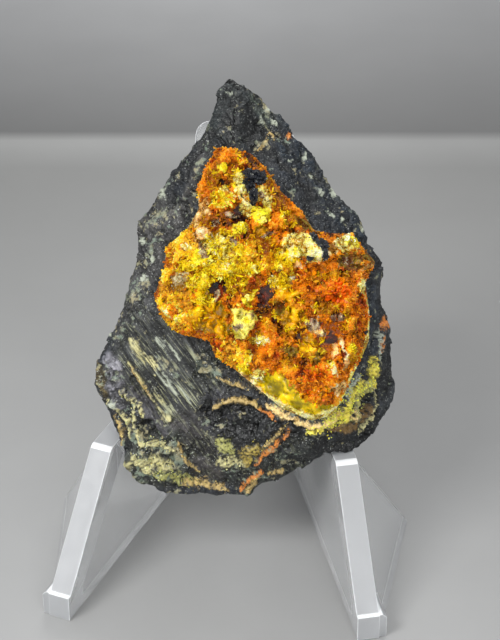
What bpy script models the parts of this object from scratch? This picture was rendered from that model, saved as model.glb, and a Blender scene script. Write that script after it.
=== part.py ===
"""Orange masuyite and yellow billietite grown as one crust on dark uraninite, on a clear easel.

Lengths are in millimetres and angles in degrees until a mesh is written, in metres. The stone is
described in a plane of its own that leans back on the easel: u runs to the right, v runs up
along the lean, and w comes out towards the viewer. +Z is up, and the feet stand on z = 0.
"""

import math
import random

import bmesh
import bpy
from mathutils import Vector, noise
from mathutils.geometry import delaunay_2d_cdt

MM = 0.001
CLEARANCE = 0.3
ON_EDGE = 0.01

# How the stone sits: its plane's centre, its lean from upright and its turn to the right
STONE_CENTRE = Vector((2.7, -3.1, 36.6))
STONE_LEAN = 32.0
STONE_TURN = 6.0

# The stone's outline in its own plane, clockwise from the tip
STONE_OUTLINE = (
    (-2.9, 35.2), (-0.4, 33.6), (1.7, 32.6), (3.0, 30.7), (5.5, 28.8), (6.5, 26.7),
    (9.6, 23.8), (11.4, 20.0), (12.5, 18.4), (15.6, 15.2), (17.0, 12.5), (17.2, 10.9),
    (19.1, 8.7), (19.4, 6.8), (18.8, 4.5), (19.1, 2.3), (20.3, 0.1), (20.7, -3.6),
    (21.3, -9.6), (20.3, -13.5), (18.5, -15.9), (16.8, -18.4), (14.1, -19.4), (10.9, -19.7),
    (9.3, -20.4), (7.1, -21.9), (3.9, -23.5), (1.7, -24.1), (-0.1, -26.1), (-2.6, -25.6),
    (-4.6, -26.1), (-7.4, -24.8), (-10.0, -24.5), (-12.8, -24.8), (-15.9, -23.2),
    (-18.4, -20.7), (-18.8, -18.1), (-20.3, -14.9), (-21.0, -12.2), (-22.5, -9.6),
    (-22.6, -6.2), (-20.3, -2.0), (-18.8, 0.7), (-17.5, 5.5), (-16.5, 9.9), (-16.5, 14.1),
    (-14.3, 17.2), (-11.7, 20.6), (-9.0, 24.3), (-6.8, 27.2), (-5.5, 29.7), (-5.2, 32.3),
    (-4.2, 33.9),
)
EDGE_STEP = 1.2
FRONT_STEP = 1.35
BACK_STEP = 1.8

# Scattered points: how far their rows stand apart, how far each is shaken and how far it keeps
# from an edge, all as shares of the step
ROW_SHARE = 0.87
SHAKE = 0.24
EDGE_SHARE = 0.5

# Broad faces of the stone's front as w = height + slope_u * u + slope_v * v, lowest one wins
FRONT_FACES = {
    "crust plateau": (8.2, 0.02, 0.0),
    "tip": (23.4, -0.12, -0.66),
    "right shoulder": (23.6, -0.77, -0.72),
    "left flank": (22.0, 1.10, -0.41),
    "lower left slickenside": (10.0, 0.27, 0.38),
    "right rim": (35.4, -1.80, 0.10),
    "lower right rim": (26.0, -0.96, 0.72),
    "underside": (20.5, 0.05, 1.00),
}
# Broad faces of its back, highest one wins
BACK_FACES = {
    "rest": (-13.6, 0.0, 0.0),
    "upper back": (-17.2, -0.10, 0.42),
    "left back": (-21.0, -0.75, 0.10),
    "right back": (-20.5, 0.62, -0.08),
    "lower back": (-19.6, 0.05, -0.42),
}
FACE_BLEND, FACE_ROUND = 2.0, 0.25
RIM_LOWEST = -5.0
BACK_ROLL = 6.0
LEAST_THICKNESS = 2.0
CRUST_APRON = 2.0

# The break of the rock: how close its waves stand and how high they are, broad ones first
STONE_BREAK = 0.75
BREAK_WAVES = ((0.16, 1.5), (0.45, 0.8))
WAVE_SHIFT = 9.0
FRONT_SEED, BACK_SEED = 3.0, 31.0

# Lumps and hollows of the stone: u, v, radius and height
STONE_FORMS = {
    "lower left bulge": (-13.8, -17.5, 4.6, 1.8),
    "dark pit": (-14.5, -16.4, 1.3, -1.6),
    "curved rim": (-0.7, -12.9, 2.4, 1.1),
    "slickenside hollow": (-7.5, -9.8, 4.2, -1.0),
    "left corner": (-19.4, -8.4, 3.0, 1.3),
    "right cavity": (17.2, -11.3, 1.8, -1.6),
    "lower right knob": (14.2, -16.4, 3.0, 1.2),
    "bottom lip": (0.7, -20.0, 3.0, 1.2),
    "upper left ledge": (-13.6, 13.2, 2.6, 1.0),
    "tip ridge": (-1.6, 30.4, 2.4, 1.3),
    "shoulder hollow": (7.4, 21.0, 2.6, -1.0),
    "shoulder ledge": (13.6, 14.8, 2.2, 0.9),
}

# The crust's outline on the plateau, clockwise from its top left corner
CRUST_OUTLINE = (
    (-4.5, 24.2), (0.1, 23.4), (2.2, 21.3), (4.2, 18.1), (7.4, 15.0), (8.9, 12.5),
    (11.4, 12.2), (14.5, 12.2), (16.3, 9.9), (17.8, 8.1), (16.1, 5.3), (16.8, 1.1),
    (16.8, -2.9), (14.5, -7.5), (12.7, -11.7), (11.4, -13.5), (8.4, -14.1), (4.2, -12.2),
    (1.1, -9.6), (-1.9, -7.1), (-5.0, -5.0), (-5.6, -2.9), (-10.2, -1.9), (-12.2, 0.1),
    (-13.5, 3.2), (-12.0, 7.4), (-11.7, 10.4), (-8.6, 12.9), (-7.1, 15.6), (-7.4, 18.1),
    (-6.3, 21.3),
)
CRUST_STEP = 0.88
CRUST_THICKNESS = 1.5
CRUST_EDGE = 0.6
CRUST_SHOULDER = 1.8
CRYSTAL_CELL = 1.7
CRYSTAL_TILT = 0.84
CRYSTAL_STEP = 0.42
TILT_SEED, STEP_SEED = 7.0, 5.0

# Lumps and hollows of the crust: u, v, radius and height
CRUST_FORMS = {
    "top spur lump": (-3.6, 21.0, 1.6, 1.0),
    "upper dark knob": (0.6, 18.5, 2.6, 1.9),
    "knob rim": (1.9, 16.0, 1.6, 0.9),
    "brown void": (-2.8, 15.3, 1.8, -1.0),
    "yellow rosette": (-1.1, 12.4, 2.2, 1.5),
    "sparkling field": (-4.6, 7.8, 4.6, 0.9),
    "left margin": (-9.7, 10.2, 2.4, 0.6),
    "grey patch": (-10.4, 5.4, 1.6, -0.5),
    "lower left lobe": (-10.0, 1.8, 2.6, 1.2),
    "dark hole": (-4.6, 4.2, 1.5, -1.4),
    "amber hollow": (-5.3, 0.6, 2.3, -0.9),
    "centre plate": (-0.8, -0.1, 2.6, 1.6),
    "cream patch": (7.4, 10.6, 2.2, 0.9),
    "right dark knob": (9.6, 9.6, 2.0, 1.4),
    "red void": (2.8, 4.0, 2.3, -1.0),
    "right field": (13.4, 3.5, 3.0, 0.7),
    "deep red hole": (11.3, -3.1, 2.5, -1.2),
    "bottom block": (9.6, -9.0, 3.8, 1.7),
    "glossy band": (5.6, -9.9, 2.4, 0.7),
    "cream crater": (1.1, -7.2, 1.3, -0.7),
}

# The easel: two upright plates that run together behind, with a ledge and a rest for the stone.
# The rest's panel stands a little left of the middle, where its one visible corner is
PLATE = 3.2
SPLAY = 17.5
FOOT_X, FOOT_Y = 23.7, -27.6
FOOT_HEIGHT, FOOT_LENGTH, FOOT_STEP = 4.0, 6.0, 1.1
FOOT_CHAMFER, FOOT_SET_BACK = 0.6, 0.2
BAND_START = 0.7
LEDGE_Z = 20.5
LEDGE_START = 14.9
LEDGE_CORNER = 1.2
LEDGE_CORNER_STEPS = 4
REST_LEAN = 32.0
REST_Y = 4.3
REST_TOP = 53.9
REST_GAP = 0.39
REST_X, REST_WIDTH, REST_BOTTOM, REST_SHEET = -1.2, 14.4, 33.0, 2.6
REST_CORNER, REST_CORNER_STEPS = 2.2, 5
PLATE_TOP = 50.5
WEB_SHEET = 2.0
WEB_FOOT = (23.9, -26.4)
WEB_APEX = (26.6, 0.1)
WEB_TOP = (17.6, -10.6, 20.3)
REAR_Y = 28.56
KEEL_SLOPE = 2.0
KEEL_MARGIN = 2.0

STONE_LOOK = ((0.055, 0.055, 0.065, 1.0), 0.6, 0.0, 0.0)
CRUST_LOOK = ((0.78, 0.30, 0.03, 1.0), 0.4, 0.0, 0.0)
CLEAR_LOOK = ((0.92, 0.94, 0.95, 1.0), 0.05, 0.0, 1.0)


def clear_scene():
    for scene_object in list(bpy.data.objects):
        bpy.data.objects.remove(scene_object, do_unlink=True)


def add_material(node, look):
    """Gives a node its own Principled material from colour, roughness, metallic and transmission."""
    colour, roughness, metallic, transmission = look
    material = bpy.data.materials.new(node.name)
    material.use_nodes = True
    shader = material.node_tree.nodes["Principled BSDF"]
    shader.inputs["Base Color"].default_value = colour
    shader.inputs["Roughness"].default_value = roughness
    shader.inputs["Metallic"].default_value = metallic
    shader.inputs["Transmission Weight"].default_value = transmission
    node.data.materials.append(material)


def add_object(name, shape):
    """Turns a bmesh in millimetres into an object in metres, with its faces pointing out."""
    bmesh.ops.recalc_face_normals(shape, faces=shape.faces)
    bmesh.ops.scale(shape, vec=(MM, MM, MM), verts=shape.verts)
    mesh = bpy.data.meshes.new(name)
    shape.to_mesh(mesh)
    shape.free()
    node = bpy.data.objects.new(name, mesh)
    bpy.context.scene.collection.objects.link(node)
    return node


def walked(outline, step):
    """An outline with its long sides divided, so that no side is longer than a step."""
    points = []
    for (au, av), (bu, bv) in zip(outline, outline[1:] + outline[:1]):
        count = max(1, round(math.hypot(bu - au, bv - av) / step))
        points += [(au + (bu - au) * i / count, av + (bv - av) * i / count) for i in range(count)]
    return points


def within(outline, u, v):
    """Whether a point is inside an outline."""
    inside = False
    for (au, av), (bu, bv) in zip(outline, outline[1:] + outline[:1]):
        if (av > v) != (bv > v) and u < au + (v - av) * (bu - au) / (bv - av):
            inside = not inside
    return inside


def from_edge(outline, u, v):
    """The distance from a point to an outline."""
    nearest = math.inf
    for (au, av), (bu, bv) in zip(outline, outline[1:] + outline[:1]):
        eu, ev = bu - au, bv - av
        share = ((u - au) * eu + (v - av) * ev) / (eu * eu + ev * ev)
        share = min(1.0, max(0.0, share))
        nearest = min(nearest, math.hypot(u - au - eu * share, v - av - ev * share))
    return nearest


def scattered(outline, step, edges, seed):
    """Uneven points a step apart inside an outline, clear of the given edges."""
    shaken = random.Random(seed)
    us, vs = [u for u, v in outline], [v for u, v in outline]
    rows = int((max(vs) - min(vs)) / (step * ROW_SHARE)) + 1
    columns = int((max(us) - min(us)) / step) + 2
    points = []
    for row in range(rows):
        for column in range(columns):
            u = min(us) + step * (column + 0.5 * (row % 2) + shaken.uniform(-SHAKE, SHAKE))
            v = min(vs) + step * (ROW_SHARE * row + shaken.uniform(-SHAKE, SHAKE))
            clear = all(from_edge(edge, u, v) > EDGE_SHARE * step for edge in edges)
            if clear and within(outline, u, v):
                points.append((u, v))
    return points


def triangulated(loops, points):
    """Triangles over the outer loop, with every loop kept as edges: their corners and indices."""
    corners, edges = [], []
    for loop in loops:
        start = len(corners)
        edges += [(start + i, start + (i + 1) % len(loop)) for i in range(len(loop))]
        corners += loop
    corners = [Vector(corner) for corner in corners + points]
    made = delaunay_2d_cdt(corners, edges, [], 1, 1e-5)
    return [tuple(corner) for corner in made[0]], made[2]


def stone_axes():
    """The directions of u, v and w in the row's frame."""
    turn, lean = math.radians(STONE_TURN), math.radians(STONE_LEAN)
    out = Vector((
        math.sin(turn) * math.cos(lean),
        -math.cos(turn) * math.cos(lean),
        math.sin(lean),
    ))
    right = Vector((math.cos(turn), math.sin(turn), 0.0))
    return right, out.cross(right), out


AXES = stone_axes()


def in_row(u, v, w):
    right, up, out = AXES
    return STONE_CENTRE + right * u + up * v + out * w


def broken(u, v, seed):
    """Uneven rock: broad steps with a finer break on them."""
    height = 0.0
    for number, (closeness, share) in enumerate(BREAK_WAVES):
        height += share * noise.noise(Vector((u, v, seed + WAVE_SHIFT * number)) * closeness)
    return STONE_BREAK * height


def on_face(face, u, v):
    height, slope_u, slope_v = face
    return height + slope_u * u + slope_v * v


def stone_front(u, v):
    """The front before its break, which the crust's underside follows too."""
    heights = sorted(on_face(face, u, v) for face in FRONT_FACES.values())
    blend = max(0.0, 1.0 - (heights[1] - heights[0]) / FACE_BLEND)
    return heights[0] - FACE_ROUND * blend * blend


def formed(forms, u, v):
    """The height that a set of lumps and hollows adds."""
    height = 0.0
    for form_u, form_v, radius, rise in forms.values():
        off = math.hypot(u - form_u, v - form_v) / radius
        height += rise * math.exp(-off * off)
    return height


def stone_face(u, v):
    """The front as it is: rough and lumpy, but even under the crust."""
    bare = 0.0
    if not within(CRUST_OUTLINE, u, v):
        bare = min(1.0, from_edge(CRUST_OUTLINE, u, v) / CRUST_APRON)
    rough = broken(u, v, FRONT_SEED) + formed(STONE_FORMS, u, v)
    return max(RIM_LOWEST, stone_front(u, v) + rough * bare)


def stone_back(u, v):
    """The back, which rolls in from the outline to its broad faces."""
    share = min(1.0, from_edge(STONE_OUTLINE, u, v) / BACK_ROLL)
    back = max(on_face(face, u, v) for face in BACK_FACES.values()) + broken(u, v, BACK_SEED)
    front = stone_face(u, v)
    back = min(back, front - LEAST_THICKNESS)
    return front + (back - front) * math.sqrt(1.0 - (1.0 - share) ** 2)


def plate_inner_x(y):
    """Where the plates' inner faces stand at a depth y."""
    slope = math.tan(math.radians(SPLAY))
    return FOOT_X - PLATE / math.cos(math.radians(SPLAY)) - slope * (y - FOOT_Y)


def rest_out():
    lean = math.radians(REST_LEAN)
    return Vector((0.0, -math.cos(lean), math.sin(lean)))


def settled(point):
    """Lifts a point of the stone clear of the ledges and of the rest behind it."""
    depth = rest_out().dot(point - Vector((0.0, REST_Y, LEDGE_Z)))
    if depth < REST_GAP:
        point = point + rest_out() * (REST_GAP - depth)
    inside = max(0.0, plate_inner_x(point.y) - KEEL_MARGIN - abs(point.x))
    lowest = LEDGE_Z + CLEARANCE - KEEL_SLOPE * inside
    return Vector((point.x, point.y, max(point.z, lowest)))


def add_faces(shape, verts, faces):
    for face in faces:
        shape.faces.new([verts[i] for i in face])


def stone_front_mesh():
    """Corners and triangles of the front, divided along the crust's outline."""
    stone_edge, crust_edge = walked(STONE_OUTLINE, EDGE_STEP), walked(CRUST_OUTLINE, EDGE_STEP)
    points = scattered(STONE_OUTLINE, FRONT_STEP, (STONE_OUTLINE, CRUST_OUTLINE), 5)
    return triangulated((stone_edge, crust_edge), points)


def add_stone():
    """The dark matrix: its front and back meet along its outline."""
    shape = bmesh.new()
    rim = {}

    def corner(u, v, height):
        key = (round(u, 3), round(v, 3))
        if from_edge(STONE_OUTLINE, u, v) > ON_EDGE:
            return shape.verts.new(settled(in_row(u, v, height(u, v))))
        if key not in rim:
            rim[key] = shape.verts.new(settled(in_row(u, v, stone_face(u, v))))
        return rim[key]

    corners, faces = stone_front_mesh()
    add_faces(shape, [corner(u, v, stone_face) for u, v in corners], faces)
    points = scattered(STONE_OUTLINE, BACK_STEP, (STONE_OUTLINE,), 11)
    corners, faces = triangulated((walked(STONE_OUTLINE, EDGE_STEP),), points)
    add_faces(shape, [corner(u, v, stone_back) for u, v in corners], faces)
    node = add_object("uraninite_matrix", shape)
    add_material(node, STONE_LOOK)


def crystal_facets(u, v):
    """Flat crystal tops: each cell of the crust has its own step and tilt."""
    place = Vector((u, v, 0.0)) / CRYSTAL_CELL
    centre = noise.voronoi(place)[1][0]
    tilt = noise.cell_vector(centre * TILT_SEED)
    step = noise.cell(centre * STEP_SEED) - 0.5
    away = (place - centre) * CRYSTAL_CELL
    slope = (tilt.x - 0.5) * away.x + (tilt.y - 0.5) * away.y
    return CRYSTAL_TILT * slope + CRYSTAL_STEP * step


def crust_thickness(u, v):
    thick = CRUST_THICKNESS + formed(CRUST_FORMS, u, v) + crystal_facets(u, v)
    shoulder = min(1.0, from_edge(CRUST_OUTLINE, u, v) / CRUST_SHOULDER)
    return CRUST_EDGE + max(0.0, thick - CRUST_EDGE) * math.sqrt(1.0 - (1.0 - shoulder) ** 2)


def add_crust():
    """The orange and yellow crust as one solid, whose underside follows the stone's front."""
    shape = bmesh.new()
    top_rim, under_rim = {}, {}

    def corner(u, v, rim, rise):
        w = stone_front(u, v) + CLEARANCE + rise
        key = (round(u, 3), round(v, 3))
        if from_edge(CRUST_OUTLINE, u, v) > ON_EDGE:
            return shape.verts.new(in_row(u, v, w))
        if key not in rim:
            rim[key] = shape.verts.new(in_row(u, v, w))
        return rim[key]

    edge = walked(CRUST_OUTLINE, EDGE_STEP)
    corners, faces = stone_front_mesh()
    covered = []
    for face in faces:
        middle = [sum(corners[i][axis] for i in face) / 3 for axis in (0, 1)]
        if within(CRUST_OUTLINE, *middle):
            covered.append(face)
    used = {i: corner(*corners[i], under_rim, 0.0) for face in covered for i in face}
    add_faces(shape, used, [tuple(reversed(face)) for face in covered])
    points = scattered(CRUST_OUTLINE, CRUST_STEP, (CRUST_OUTLINE,), 17)
    corners, faces = triangulated((edge,), points)
    verts = [corner(u, v, top_rim, crust_thickness(u, v)) for u, v in corners]
    add_faces(shape, verts, faces)
    keys = [(round(u, 3), round(v, 3)) for u, v in edge]
    for a, b in zip(keys, keys[1:] + keys[:1]):
        shape.faces.new((top_rim[a], under_rim[a], under_rim[b]))
        shape.faces.new((top_rim[a], under_rim[b], top_rim[b]))
    node = add_object("masuyite_billietite_crust", shape)
    add_material(node, CRUST_LOOK)


def add_sheet(name, corners, direction):
    """A sheet of the easel: the corners of one side, and the way to the other side."""
    shape = bmesh.new()
    near = [shape.verts.new(corner) for corner in corners]
    far = [shape.verts.new(corner + direction) for corner in corners]
    shape.faces.new(near)
    shape.faces.new(reversed(far))
    for i in range(len(near)):
        j = (i + 1) % len(near)
        shape.faces.new((near[i], far[i], far[j], near[j]))
    return add_object(name, shape)


def arc(centre, radius, start, end, steps):
    points = []
    for i in range(steps + 1):
        angle = math.radians(start + (end - start) * i / steps)
        points.append((centre[0] + radius * math.cos(angle), centre[1] + radius * math.sin(angle)))
    return points


def rest_y(z):
    return REST_Y + (z - LEDGE_Z) * math.tan(math.radians(REST_LEAN))


def along_plate(y):
    """The distance along a plate, from its foot, at which it reaches a depth y."""
    return (y - FOOT_Y) / math.cos(math.radians(SPLAY))


def plate_ways(side):
    """The directions along a plate to the back and out through it, and where its foot starts."""
    splay = math.radians(SPLAY)
    back = Vector((-side * math.sin(splay), math.cos(splay), 0.0))
    outward = Vector((side * math.cos(splay), math.sin(splay), 0.0))
    return back, outward, Vector((side * FOOT_X, FOOT_Y, 0.0))


def add_plate(side):
    """One upright plate: foot, leaning front band, ledge, and the slope of the rest."""
    band = math.degrees(math.atan2(LEDGE_Z - FOOT_HEIGHT, LEDGE_START - BAND_START))
    cut = LEDGE_CORNER * math.tan(math.radians(band) / 2)
    corner = (LEDGE_START + cut, LEDGE_Z - LEDGE_CORNER)
    set_back = PLATE * math.sin(math.radians(SPLAY))
    outline = [(0.0, 0.0), (0.0, FOOT_HEIGHT), (BAND_START, FOOT_HEIGHT)]
    outline += arc(corner, LEDGE_CORNER, 90 + band, 90, LEDGE_CORNER_STEPS)
    outline += [
        (along_plate(REST_Y + set_back), LEDGE_Z),
        (along_plate(rest_y(PLATE_TOP) + set_back), PLATE_TOP),
        (along_plate(REAR_Y), PLATE_TOP),
        (along_plate(REAR_Y), 0.0),
    ]
    back, outward, start = plate_ways(side)
    corners = [start + back * along + Vector((0.0, 0.0, z)) for along, z in outline]
    return add_sheet("plate", corners, outward * -PLATE)


def add_foot(side):
    """The block under the front of a plate, with its step on the outer side."""
    outline = [(-0.5 * PLATE, 0.0), (FOOT_STEP, 0.0), (FOOT_STEP, FOOT_HEIGHT - FOOT_CHAMFER)]
    outline += [(FOOT_STEP - FOOT_CHAMFER, FOOT_HEIGHT), (-0.5 * PLATE, FOOT_HEIGHT)]
    back, outward, start = plate_ways(side)
    start += back * FOOT_SET_BACK
    corners = [start + outward * out + Vector((0.0, 0.0, z)) for out, z in outline]
    return add_sheet("foot", corners, back * FOOT_LENGTH)


def add_web(side):
    """The sloping outer sheet, from a foot out to its rear corner and up to the ledge."""
    places = (WEB_FOOT + (0.0,), WEB_APEX + (0.0,), WEB_TOP)
    foot, apex, top = (Vector((side * x, y, z)) for x, y, z in places)
    across = (apex - foot).cross(top - foot)
    across.z = 0.0
    if across.x * side > 0:
        across = -across
    return add_sheet("web", (foot, apex, top), across.normalized() * WEB_SHEET)


def add_rest():
    """The leaning panel behind the stone, with round top corners."""
    half, radius = REST_WIDTH / 2, REST_CORNER
    lean = math.radians(REST_LEAN)
    height = (REST_TOP - REST_BOTTOM) / math.cos(lean)
    outline = [(-half, 0.0), (half, 0.0)]
    outline += arc((half - radius, height - radius), radius, 0, 90, REST_CORNER_STEPS)
    outline += arc((radius - half, height - radius), radius, 90, 180, REST_CORNER_STEPS)
    start = Vector((REST_X, rest_y(REST_BOTTOM), REST_BOTTOM))
    up = Vector((0.0, math.sin(lean), math.cos(lean)))
    corners = [start + Vector((x, 0.0, 0.0)) + up * along for x, along in outline]
    return add_sheet("rest", corners, rest_out() * -REST_SHEET)


def add_easel():
    """The clear easel, moulded in one piece."""
    easel = add_plate(1)
    easel.name = "clear_easel"
    pieces = [add_plate(-1), add_rest()]
    pieces += [add_foot(side) for side in (-1, 1)]
    pieces += [add_web(side) for side in (-1, 1)]
    for piece in pieces:
        piece.hide_render = True
        piece.display_type = "WIRE"
        union = easel.modifiers.new(f"join_{piece.name}", "BOOLEAN")
        union.operation = "UNION"
        union.solver = "EXACT"
        union.object = piece
    add_material(easel, CLEAR_LOOK)


def main():
    clear_scene()
    add_stone()
    add_crust()
    add_easel()


main()
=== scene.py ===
"""Looks of the masuyite and billietite specimen: broken rock, crystal crust and clear easel.

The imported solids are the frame. The rock and the crust are denser, broken-up copies of their
solids, and thousands of small crystals grow on the crust. Lengths are in millimetres in the
stone's own leaning plane, and in metres in the row's frame.
"""

import logging
import math
from dataclasses import dataclass, field
from enum import Enum

import bmesh
import bpy
import numpy as np
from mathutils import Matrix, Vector, noise
from mathutils.bvhtree import BVHTree


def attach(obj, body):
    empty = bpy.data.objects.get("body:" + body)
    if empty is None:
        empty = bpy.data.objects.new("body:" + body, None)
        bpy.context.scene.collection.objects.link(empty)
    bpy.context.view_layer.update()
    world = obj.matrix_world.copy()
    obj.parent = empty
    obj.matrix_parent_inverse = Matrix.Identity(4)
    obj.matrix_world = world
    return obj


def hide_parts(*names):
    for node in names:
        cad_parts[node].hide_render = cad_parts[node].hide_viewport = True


Array = np.ndarray
Material = bpy.types.Material
Mesh = bpy.types.Mesh
Piece = bpy.types.Object
Socket = bpy.types.NodeSocket

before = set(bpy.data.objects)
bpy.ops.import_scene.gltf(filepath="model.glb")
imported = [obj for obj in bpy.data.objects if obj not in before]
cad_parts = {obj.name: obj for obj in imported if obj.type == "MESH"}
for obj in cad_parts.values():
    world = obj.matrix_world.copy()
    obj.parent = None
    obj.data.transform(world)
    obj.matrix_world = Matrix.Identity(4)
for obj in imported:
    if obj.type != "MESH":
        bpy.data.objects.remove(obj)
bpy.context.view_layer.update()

LOG = logging.getLogger("specimen")
MM = 0.001
BODY = "root"
WELD = 2e-6
RAY_HEIGHT = 30.0
NOISE_SHIFT = np.array((13.7, 7.1, 3.3))
CELL_SHIFT = np.array((11.3, 5.9, 2.7))


def paint(red: float, green: float, blue: float) -> tuple[float, float, float]:
    """Turns a colour as seen on a screen into linear light.

    Args:
        red, green, blue: The colour's levels, 0 to 255.

    Returns:
        The same three levels as linear light, 0 to 1.
    """
    shares = [level / 255 for level in (red, green, blue)]
    return tuple(s / 12.92 if s <= 0.04045 else ((s + 0.055) / 1.055) ** 2.4 for s in shares)


def smooth(low: float, high: float, values: Array) -> Array:
    """Rises smoothly from 0 at low to 1 at high."""
    share = np.clip((values - low) / (high - low), 0.0, 1.0)
    return share * share * (3.0 - 2.0 * share)


def mixed(first: Array, second: Array, share: Array) -> Array:
    """Blends two colours or rows of colours by a share for each point."""
    return first + (second - first) * share[:, None]


def fractal(points: Array, pitch: float, seed: float, octaves: int = 3) -> Array:
    """Smooth noise at some points.

    Args:
        points: Where, in millimetres.
        pitch: How far apart its features are.
        seed: Moves the pattern.
        octaves: How many layers it has, each half as coarse as the one before.

    Returns:
        A value for each point, about -1 to 1.
    """
    return np.array([
        noise.fractal(Vector(point), 1.0, 2.0, octaves, noise_basis="PERLIN_ORIGINAL")
        for point in points / pitch + seed * NOISE_SHIFT
    ])


@dataclass
class Cells:
    """Cell noise at some points: how far the cell's middle is, and two values of the cell's own."""

    middle: Array
    value: Array
    tilt: Array

    @classmethod
    def at(cls, points: Array, pitch: float, seed: float, metric: str = "DISTANCE") -> "Cells":
        """Looks the cells up.

        Args:
            points: Where, in millimetres.
            pitch: The size of a cell.
            seed: Moves the pattern.
            metric: How distances are measured, which makes the cells round or angular.

        Returns:
            The cells at the points. tilt is a slope of each cell times the place in it.
        """
        middle, value, tilt = [], [], []
        for point in points / pitch + seed * CELL_SHIFT:
            far, near = noise.voronoi(Vector(point), distance_metric=metric)
            own = noise.cell_vector(near[0] * 17.0)
            middle.append(far[0])
            value.append(own.z)
            slope = Vector((own.x - 0.5, own.y - 0.5, own.z - 0.5))
            tilt.append(slope.dot(Vector(point) - near[0]))
        return cls(np.array(middle), np.array(value), np.array(tilt))


@dataclass(frozen=True)
class StonePlane:
    """The plane that the stone's face is laid out in: u right, v up the lean, w towards the viewer.

    Its sizes repeat those of the solids: centre in millimetres, lean and turn in degrees.
    """

    centre: tuple[float, float, float] = (2.7, -3.1, 36.6)
    lean: float = 32.0
    turn: float = 6.0

    def axes(self) -> Array:
        """The directions of the plane.

        Returns:
            Those of u, v and w, one a row.
        """
        turn, lean = math.radians(self.turn), math.radians(self.lean)
        out = np.array((
            math.sin(turn) * math.cos(lean),
            -math.cos(turn) * math.cos(lean),
            math.sin(lean),
        ))
        right = np.array((math.cos(turn), math.sin(turn), 0.0))
        return np.array((right, np.cross(out, right), out))

    def of_row(self, points: Array) -> Array:
        """Row coordinates in metres as u, v and w in millimetres."""
        return (points / MM - np.array(self.centre)) @ self.axes().T

    def to_row(self, places: Array) -> Array:
        """u, v and w in millimetres as row coordinates in metres."""
        return (places @ self.axes() + np.array(self.centre)) * MM


PLANE = StonePlane()


@dataclass(frozen=True)
class Spot:
    """An oval on the stone's face, in millimetres, turned anticlockwise by degrees."""

    u: float
    v: float
    radius_u: float
    radius_v: float
    turn: float = 0.0

    def reach(self, u: Array, v: Array) -> Array:
        """How far out places lie.

        Args:
            u, v: The places.

        Returns:
            0 at the middle and 1 on the oval's edge.
        """
        turn = math.radians(self.turn)
        du, dv = u - self.u, v - self.v
        along = (du * math.cos(turn) + dv * math.sin(turn)) / self.radius_u
        across = (dv * math.cos(turn) - du * math.sin(turn)) / self.radius_v
        return np.hypot(along, across)


@dataclass(frozen=True)
class Slab:
    """A plate on the stone's face with straight sides, its corners anticlockwise in millimetres."""

    corners: tuple

    def reach(self, u: Array, v: Array) -> Array:
        """How far out places lie.

        Args:
            u, v: The places.

        Returns:
            1 on the plate's sides, less inside, and rising by one a millimetre outside.
        """
        found = np.full(len(u), -np.inf)
        for (au, av), (bu, bv) in zip(self.corners, self.corners[1:] + self.corners[:1]):
            length = math.hypot(bu - au, bv - av)
            found = np.maximum(found, ((u - au) * (bv - av) - (v - av) * (bu - au)) / length)
        return 1.0 + found


def route_distance(route: tuple, u: Array, v: Array) -> tuple[Array, Array]:
    """Measures places against a route of straight runs.

    Args:
        route: The ends of the runs.
        u, v: The places.

    Returns:
        How far each lies from the route, and its share of the way along it.
    """
    best = np.full(len(u), np.inf)
    way = np.zeros(len(u))
    for i, ((au, av), (bu, bv)) in enumerate(zip(route, route[1:])):
        eu, ev = bu - au, bv - av
        share = np.clip(((u - au) * eu + (v - av) * ev) / (eu * eu + ev * ev), 0.0, 1.0)
        far = np.hypot(u - au - eu * share, v - av - ev * share)
        closer = far < best
        best = np.where(closer, far, best)
        way = np.where(closer, (i + share) / (len(route) - 1), way)
    return best, way


class Detail:
    """Reads and writes the vertices of a mesh as arrays."""

    def __init__(self, mesh: Mesh) -> None:
        """Reads the places and normals of the vertices.

        Args:
            mesh: Whose vertices.
        """
        self.mesh = mesh
        count = len(mesh.vertices)
        points, normals = np.empty(count * 3), np.empty(count * 3)
        mesh.vertices.foreach_get("co", points)
        mesh.vertex_normals.foreach_get("vector", normals)
        self.points = points.reshape(-1, 3)
        self.normals = normals.reshape(-1, 3)

    def place(self, points: Array) -> None:
        """Moves the vertices."""
        self.mesh.vertices.foreach_set("co", points.reshape(-1))
        self.mesh.update()

    def colour(self, name: str, values: Array) -> None:
        """Writes a colour for each vertex.

        Args:
            name: The attribute's name.
            values: The colours, one a row.
        """
        rows = np.ones((len(values), 4))
        rows[:, :3] = np.clip(values, 0.0, 1.0)
        layer = self.mesh.attributes.new(name, "FLOAT_COLOR", "POINT")
        layer.data.foreach_set("color", rows.reshape(-1))

    def number(self, name: str, values: Array) -> None:
        """Writes a number for each vertex."""
        layer = self.mesh.attributes.new(name, "FLOAT", "POINT")
        layer.data.foreach_set("value", np.clip(values, 0.0, 1.0))


def add_piece(name: str, mesh: Mesh) -> Piece:
    """Adds a mesh as a piece of the root body.

    Args:
        name: The piece's name.
        mesh: Its mesh, in the row's frame.

    Returns:
        The new object.
    """
    piece = bpy.data.objects.new(name, mesh)
    bpy.context.scene.collection.objects.link(piece)
    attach(piece, BODY)
    return piece


def mesh_from(shape: bmesh.types.BMesh, name: str) -> Mesh:
    """Turns a working shape into a mesh and frees it.

    Args:
        shape: The shape.
        name: The mesh's name.

    Returns:
        The new mesh.
    """
    mesh = bpy.data.meshes.new(name)
    shape.to_mesh(mesh)
    shape.free()
    return mesh


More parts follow.
